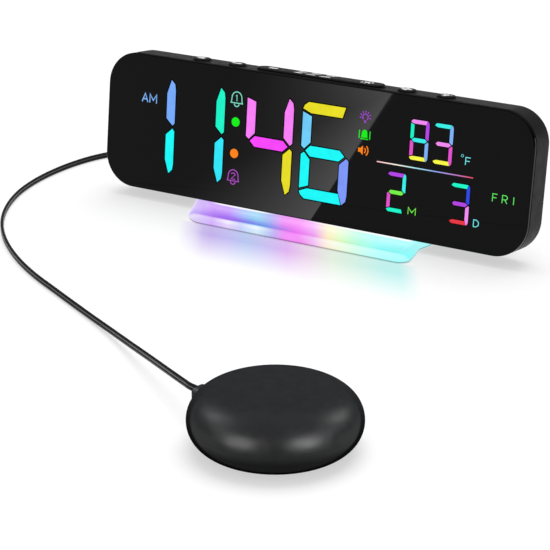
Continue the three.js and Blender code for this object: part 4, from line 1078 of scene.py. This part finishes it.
def letter(sign, x, y, width, height, stroke):
    return strokes([boxed(path, x, y, width, height) for path in LETTERS[sign]], stroke)


def word(letters):
    return [mesh for sign in letters for mesh in letter(*sign)]


def bell_outline(*box):
    """A bell's closed outline above its clapper."""
    dome = arc((0.5, 0.6), 0.4, 0, 180, 14)
    return boxed([(0.03, 0.24), (0.97, 0.24), (0.93, 0.34), *dome, (0.07, 0.34)], *box)


def bell(*box, stroke):
    clapper = boxed(arc((0.5, 0.2), 0.2, 185, 355, 10), *box)
    return strokes([bell_outline(*box)], stroke, True) + strokes([clapper], stroke)


def rays(x, y, near, far, count, start=0, sweep=360):
    angles = [start + sweep * i / count for i in range(count)]
    return [[on_circle((x, y), reach, angle) for reach in (near, far)] for angle in angles]


def bulb(x, y):
    glass = arc((x, y + 0.3), 1.5, -50, 230, 18)
    foot = [[(x - 0.7, y - 1.6), (x + 0.7, y - 1.6)], [(x - 0.5, y - 2.3), (x + 0.5, y - 2.3)]]
    return strokes([glass, *foot, *rays(x, y + 0.3, 2.2, 3.1, 7, -10, 233)], 0.4)


def ringing_bell(x, y):
    sides = [[(x + s * 2.9, y - 2), (x + s * 2.9, y + 2)] for s in (-1, 1)]
    foot = [[(x - 2.1, y - 2.1), (x + 2.1, y - 2.1)]]
    return filled(bell_outline(x - 1.9, y - 2.6, 3.8, 5)) + strokes(sides + foot, 0.5)


def loudspeaker(x, y):
    horn = [(-2.9, -1), (-1.7, -1), (-0.3, -2.3), (-0.3, 2.3), (-1.7, 1), (-2.9, 1)]
    waves = [arc((x - 0.5, y), radius, -48, 48, 10) for radius in (1.6, 3)]
    return filled([(x + u, y + v) for u, v in horn]) + strokes(waves, 0.55)


def readout(name, parts, where=FACE, body="body", slot="lens", paints=LIT_MATERIALS):
    """One piece from (colour name, meshes) pairs."""
    colours = list(dict.fromkeys(colour for colour, _ in parts))
    meshes = [(colours.index(colour), mesh) for colour, group in parts for mesh in group]
    piece(name, solid(gather(meshes)), where, slot, body, materials=[paints[colour] for colour in colours])


def digits(cells, size, grow=0.0, top=LIT_TOP):
    parts = []
    outlines = segment_outlines(*size)
    for x, row, lit in cells:
        for segment, colour in lit.items():
            outline = [(x + u, row + v) for u, v in grown(outlines[segment], grow)]
            parts.append((colour, filled(outline, top)))
    return parts


def add_display():
    readout("time_readout", digits(TIME, LARGE) + [
        ("green", filled(circle(UPPER_DOT, DOT_RADIUS, 40))),
        ("orange", filled(circle(LOWER_DOT, DOT_RADIUS, 40))),
        ("sky", word(MORNING)),
    ])
    ring = strokes([circle(DEGREE_SPOT, DEGREE_RADIUS, 16)], DEGREE_STROKE, True)
    divider = filled(rounded(*DIVIDER_SIZE, DIVIDER_CORNER, DIVIDER_SPOT, steps=6))
    readout("temperature_readout", digits(TEMPERATURE, SMALL) + [
        ("ice", ring + word(DEGREES)), ("divider", divider),
    ])
    readout("date_readout", digits(DATE, SMALL) + [
        ("lime", word(MONTH)), ("ice", word(DAY)), ("leaf", word(WEEKDAY)),
    ])
    readout("alarm_readout", [
        ("mint", bell(*FIRST_BELL, stroke=BELL_STROKE) + word(FIRST_ALARM)),
        ("plum", bell(*SECOND_BELL, stroke=BELL_STROKE) + word(SECOND_ALARM)),
        ("purple", bulb(*BULB_SPOT)), ("green", ringing_bell(*RINGING_SPOT)),
        ("orange", loudspeaker(*LOUDSPEAKER_SPOT)),
    ])
    backs = digits(TIME, LARGE, LARGE_MARGIN, BACKING_TOP)
    backs += digits(TEMPERATURE + DATE, SMALL, SMALL_MARGIN, BACKING_TOP)
    meshes = [("mask", [mesh for _, group in backs for mesh in group])]
    readout("readout_mask", meshes, paints={"mask": BACKING})


def quarter_turned(points, turns):
    for _ in range(turns):
        points = [(-y, x) for x, y in points]
    return points


def cross_outline(reach, half):
    """A plus sign with its middle at the origin."""
    arm = [(reach, -half), (reach, half), (half, half)]
    return [point for turn in range(4) for point in quarter_turned(arm, turn)]


def add_key_marks():
    """Printed signs on the keys, drawn bold in each key's own plane."""
    nap = word([("Z", x, -size / 2, size * 0.9, size, 1.3) for x, size in NAP])
    dash = filled(rounded(5, 2.4, 0.6, (-NAP_SIDE, 0), 4))
    sun = filled(circle((NAP_SIDE, 0), 1.4, 24)) + strokes(rays(NAP_SIDE, 0, 2.1, 3.5, 8), 0.9)
    lamp = filled(circle((0, 0.4), 1.7, 28)) + filled(rounded(2, 1.1, 0.4, (0, -2.2), 4))
    signs = {
        "alarm": filled(bell_outline(-2.2, -3.1, 4.4, 5.6)),
        "down": filled(rounded(5.6, 2.3, 0.6, steps=4)),
        "snooze": nap + dash + sun,
        "up": filled(cross_outline(2.8, 1)),
        "light": lamp + strokes(rays(0, 0.4, 2.2, 3, 5, 0, 225), 0.7),
    }
    for name, meshes in signs.items():
        x, _, top = BUTTONS[name]
        where = CLOCK @ at(x, BUTTON_DEPTH - SIGN_SHIFT, top)
        readout(f"{name}_mark", [("print", meshes)], where, f"{name}_key", "button", {"print": PRINT})


# Base


def base_outline(inset):
    """The base in plan, drawn in by an inset."""
    points = []
    for side, end, corner, start in BASE_CORNERS:
        radius = max(corner - inset, LEAST_CORNER)
        middle = (side * (BASE_WIDTH / 2 - inset - radius), end * (BASE_DEPTH / 2 - inset - radius))
        points += arc(middle, radius, start, start + 90, steps=12)
    return [shaped_end(*point) for point in split_ends(points)]


def hump(y, size, middle, reach):
    """Its full size in the middle, falling off smoothly to both sides."""
    return size * math.exp(-((y - middle) / reach) ** 2)


def shaped_end(x, y):
    """A point of the plain base moved to the real ends: the left one slants, the right one has a waist."""
    if x < 0:
        reach = LEFT_SPREAD + (LEFT_SLANT * y if y < 0 else -2 * LEFT_SPREAD * y / BASE_DEPTH)
    else:
        reach = hump(y, *RIGHT_FLARE) - hump(y, *RIGHT_WAIST)
    return x * (1 + 2 * reach / BASE_WIDTH), y * FRONT_GROWTH if y < 0 else y


def split_ends(outline, steps=16):
    """The outline with points added along its two straight ends."""
    points = []
    for start, end in zip(outline, outline[1:] + outline[:1]):
        points.append(start)
        if abs(start[0] - end[0]) < 0.01 and abs(start[1] - end[1]) > BASE_DEPTH / 3:
            points += [(start[0], start[1] + (end[1] - start[1]) * i / steps) for i in range(1, steps)]
    return points


def add_base():
    plate = solid(loft([level(base_outline(inset), height) for inset, height in BASE_EDGE]))
    to_table = TABLE.inverted() @ CLOCK
    plate = combined(plate, "UNION", [moved(block(*RISER), to_table)])
    cuts = [moved(block(*LIGHT_BOARD_ROOM), to_table)]
    for x in (-BASE_SCREW_X, BASE_SCREW_X):
        sink = rod(SINK_RADIUS, -CLOCK_LIFT - OVERSHOOT, BASE_SCREW_FOOT + SINK_DEPTH)
        cuts.append(moved(sink, to_table @ at(x, BASE_SCREW_DEPTH, 0)))
    for x, y in PADS:
        cuts.append(moved(rod(PAD_RADIUS + GAP, -OVERSHOOT, PAD_THICKNESS + GAP), at(x, y, 0)))
    plate = combined(plate, "DIFFERENCE", cuts)
    piece("lit_base", plate, TABLE, "glow", replaces=["light_base"])


def add_pads():
    profile = [*low_edge(PAD_RADIUS, 0, PAD_EDGE), (PAD_RADIUS, PAD_THICKNESS)]
    for i, (x, y) in enumerate(PADS, 1):
        pad = solid(turned(profile, steps=40))
        piece(f"foot_pad_{i}", pad, TABLE @ at(x, y, 0), "rubber", replaces=[f"base_pad_{i}"])


# Shaker


def crown(inset, steps):
    """The shaker's upper profile from its waist to its axis, drawn in by an inset."""
    profile = []
    for step in range(steps):
        turn = step / steps * math.pi / 2
        radius = (SHAKER_RADIUS - inset) * math.cos(turn) ** (2 / SHOULDER_POWER)
        rise = (SHAKER_HEIGHT - SHAKER_WAIST - inset) * math.sin(turn) ** (2 / CROWN_POWER)
        profile.append((radius, SHAKER_WAIST + rise))
    return [*profile, (AXIS_RADIUS, SHAKER_HEIGHT - inset)]


def belly(inset, low, steps):
    """The shaker's lower profile from its foot to just under its waist, drawn in by an inset."""
    profile = []
    for step in range(steps + 1):
        turn = step / steps * math.pi / 2
        radius = SHAKER_FOOT_RADIUS - inset + (SHAKER_RADIUS - SHAKER_FOOT_RADIUS) * math.sin(turn)
        profile.append((radius, low + (SHAKER_WAIST - PUCK_SEAM - low) * (1 - math.cos(turn))))
    return profile


def shaker_screws():
    return [on_circle((0, 0), SHAKER_SCREW_CIRCLE, angle) for angle in SHAKER_SCREW_ANGLES]


def stub_outline(inset):
    """The lead's stub across its length, its height along the first axis."""
    return rounded(STUB_HEIGHT, STUB_WIDTH, STUB_CORNER, (-STUB_DROP, 0), steps=8, inset=inset)


def add_shaker():
    along_lead = at(0, 0, SHAKER_WAIST) @ Matrix.Rotation(-math.pi / 2, 4, "Y")
    hole = (RELIEF_RADIUS + GAP, 0, SHAKER_RADIUS + OVERSHOOT)
    top = solid(turned(crown(SHAKER_WALL, 24)[::-1] + crown(0, 48), PUCK_STEPS))
    top = combined(top, "DIFFERENCE", [moved(rod(*hole), along_lead)])
    piece("puck_top", top, SHAKER, "shaker", replaces=["shaker_top_shell"])

    recess, recess_radius = SHAKER_PAD_THICKNESS + GAP, SHAKER_PAD_RADIUS + GAP
    profile = [(AXIS_RADIUS, recess), (recess_radius, recess), (recess_radius, SHAKER_FOOT_LIFT)]
    profile += belly(0, SHAKER_FOOT_LIFT, 24) + belly(SHAKER_WALL, SHAKER_FLOOR_TOP, 12)[::-1]
    profile += [(AXIS_RADIUS, SHAKER_FLOOR_TOP)]
    cuts = [moved(rod(*hole), along_lead)]
    for x, y in shaker_screws():
        cuts.append(moved(rod(SINK_RADIUS, -OVERSHOOT, SHAKER_FOOT_LIFT + SINK_DEPTH), at(x, y, 0)))
    bottom = combined(solid(turned(profile, PUCK_STEPS)), "DIFFERENCE", cuts)
    piece("puck_bottom", bottom, SHAKER, "shaker", replaces=["shaker_bottom_shell"])

    pad = [(AXIS_RADIUS, 0)]
    pad += [(radius + side, depth) for radius in PAD_GROOVES for side, depth in GROOVE]
    pad += low_edge(SHAKER_PAD_RADIUS, 0, PAD_EDGE)
    pad += [(SHAKER_PAD_RADIUS, SHAKER_PAD_THICKNESS), (AXIS_RADIUS, SHAKER_PAD_THICKNESS)]
    piece("puck_pad", solid(turned(pad)), SHAKER, "rubber", replaces=["shaker_pad"])

    rings = [level(stub_outline(STUB_BREAK), RELIEF_START)]
    rings += [level(stub_outline(inset), RELIEF_TIP - drop) for inset, drop in quarter(STUB_EDGE)]
    piece("lead_sleeve", solid(loft(rings)), SHAKER @ along_lead, "shaker", replaces=["strain_relief"])


# Stage and light


def stage_sheet(name, corners):
    """A flat sheet that isn't part of the object, and the node tree of its still empty material."""
    mesh = bpy.data.meshes.new(name)
    mesh.from_pydata(corners, [], [(0, 1, 2, 3)])
    material, tree, shader = new_material(name)
    tree.nodes.remove(shader)
    mesh.materials.append(material)
    sheet = placed(name, mesh)
    return sheet, tree


def finish_sheet(tree, shader):
    feed(tree, tree.nodes["Material Output"], {"Surface": shader})


def painted_spill(tree):
    """The base's light painted on the floor in front of it: how strong it is, and its colour."""
    front = -BASE_DEPTH / 2 * MM
    ahead = place_value(tree, "Y", front, front - SPILL_REACH)
    along = band_place(tree, SPILL_HALF_WIDTH, front)
    ends = grey_ramp(tree, along, SPILL_ENDS)
    strength = calculated(tree, "MULTIPLY", ends, grey_ramp(tree, ahead, SPILL_FADE))
    return strength, ramp(tree, along, PAINTED_FLOOR_GLOW)


def seen_directly(tree):
    """1 for camera, mirror and glass rays."""
    path = node(tree, "LightPath")
    kinds = ("Is Camera Ray", "Is Glossy Ray", "Is Transmission Ray")
    return calculated(tree, "MAXIMUM", *(path[kind] for kind in kinds))


def add_floor():
    """A pale floor with the base's light painted into its colour and glow, which throws less light back than
    it shows.
    """
    reach = FLOOR_HALF_WIDTH
    plan = ((-reach, -reach), (reach, -reach), (reach, reach), (-reach, reach))
    _, tree = stage_sheet("floor", level(plan, -FLOOR_DROP))
    # The base's light on the floor is painted into its colour and its glow
    share, colour = painted_spill(tree)
    paint = mixed(tree, share, grey(FLOOR_SHOWN), dimmed(tree, colour, FLOOR_SHOWN))
    shown = node(tree, "BsdfDiffuse", {"Color": paint})["BSDF"]
    glow = {"Color": mixed(tree, share, WHITE, colour), "Strength": FLOOR_LIFT}
    total = node(tree, "AddShader", {0: shown, 1: node(tree, "Emission", glow)["Emission"]})["Shader"]
    bounce = node(tree, "BsdfDiffuse", {"Color": grey(FLOOR_BOUNCE)})["BSDF"]
    chosen = node(tree, "MixShader", {"Fac": seen_directly(tree), 1: bounce, 2: total})["Shader"]
    finish_sheet(tree, chosen)


def add_world():
    """A soft studio sky, dim at the horizon and bright overhead."""
    world = bpy.data.worlds.new("studio")
    bpy.context.scene.world = world
    world.use_nodes = True
    tree = world.node_tree
    rise = calculated(tree, "MAXIMUM", axis_value(tree, "Z", "Generated"), 0.0)
    height = calculated(tree, "POWER", rise, SKY_POWER)
    light = between(tree, height, 0.0, 1.0, HORIZON_LIGHT, ZENITH_LIGHT)
    feed(tree, tree.nodes["Background"], {"Color": WHITE, "Strength": light})


def light_only(source, names):
    """Lets a lamp or a lit card light only the named pieces."""
    lit = bpy.data.collections.new(f"lit_by_{source.name}")
    for name in names:
        lit.objects.link(bpy.data.objects[name])
    source.light_linking.receiver_collection = lit


def facing(way):
    return way.to_track_quat("-Z", "Y").to_euler()


def add_lamp(name, spot, target, size, power, lit):
    """A lamp that shows only as gloss on the named pieces."""
    data = bpy.data.lights.new(name, "AREA")
    data.shape = "RECTANGLE"
    data.size, data.size_y = size
    data.energy = power
    lamp = placed(name, data)
    lamp.location = spot
    lamp.rotation_euler = facing(target - spot)
    lamp.visible_camera = False
    lamp.visible_diffuse = False
    light_only(lamp, lit)


def add_sun():
    data = bpy.data.lights.new("overhead", "SUN")
    data.energy = SUN_POWER
    data.angle = SUN_ANGLE
    sun = placed("overhead", data)
    sun.rotation_euler = facing(SUN_WAY)
    sun.visible_glossy = False


def puck_side(azimuth, elevation):
    """Where a lamp stands at an azimuth from the shaker's front towards its right, in degrees."""
    a, e = math.radians(azimuth), math.radians(elevation)
    way = Vector((math.sin(a) * math.cos(e), -math.cos(a) * math.cos(e), math.sin(e)))
    return PUCK + PUCK_LAMP_DISTANCE * way


def add_lamps():
    """An even light from above, a backdrop that the casing's top mirrors, and small ones for the shaker."""
    add_sun()
    add_lamp("backdrop", BACKDROP_SPOT, BACKDROP_TARGET, BACKDROP_SIZE, BACKDROP_POWER, ["casing"])
    shaker = ("puck_top", "puck_bottom", "lead_sleeve")
    for name, (azimuth, elevation, size, power) in PUCK_LAMPS.items():
        add_lamp(name, puck_side(azimuth, elevation), PUCK, size, power, shaker)


def seen_in_face(x, z):
    """Where the camera sees the card's plane, mirrored in the face at a point of it."""
    point = CLOCK @ Vector((x, 0, z))
    normal = (CLOCK.to_3x3() @ Vector((0, -1, 0))).normalized()
    mirrored = CAMERA_SPOT - 2 * (CAMERA_SPOT - point).dot(normal) * normal
    along = point - mirrored
    return point + along * (CARD_HEIGHT - point.z) / along.z


def add_card():
    """A lit card low in front of the clock that only the face mirrors: it fades in and ends on a slant."""
    card, tree = stage_sheet("card", [seen_in_face(x, z) for x, z in CARD_CORNERS])
    layer = card.data.uv_layers.new(name="fade")
    for loop, place in zip(layer.data, ((0, 0), (1, 0), (1, 1), (0, 1))):
        loop.uv = place
    fade = calculated(tree, "POWER", axis_value(tree, "X", "UV"), CARD_FADE)
    shine = node(tree, "Emission", {"Strength": calculated(tree, "MULTIPLY", fade, CARD_POWER)})["Emission"]
    clear = node(tree, "BsdfTransparent")["BSDF"]
    finish_sheet(tree, node(tree, "AddShader", {0: clear, 1: shine})["Shader"])
    for ray in ("camera", "diffuse", "transmission", "shadow", "volume_scatter"):
        setattr(card, f"visible_{ray}", False)
    light_only(card, ["face_panel"])


def dress_nodes():
    """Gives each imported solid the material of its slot."""
    for subpart in frame["record"]["subparts"]:
        materials = frame["nodes"][subpart["node"]].data.materials
        materials.clear()
        materials.append(SLOT_MATERIALS[subpart["material_slot"]])


add_camera()
add_cord(add_plug())
add_lens()
add_housing()
add_buttons()
add_rear_cover()
add_screws()
add_door()
add_sockets()
add_display()
add_key_marks()
add_base()
add_pads()
add_shaker()
dress_nodes()
add_floor()
add_world()
add_lamps()
add_card()
bpy.context.scene.view_settings.view_transform = "Standard"
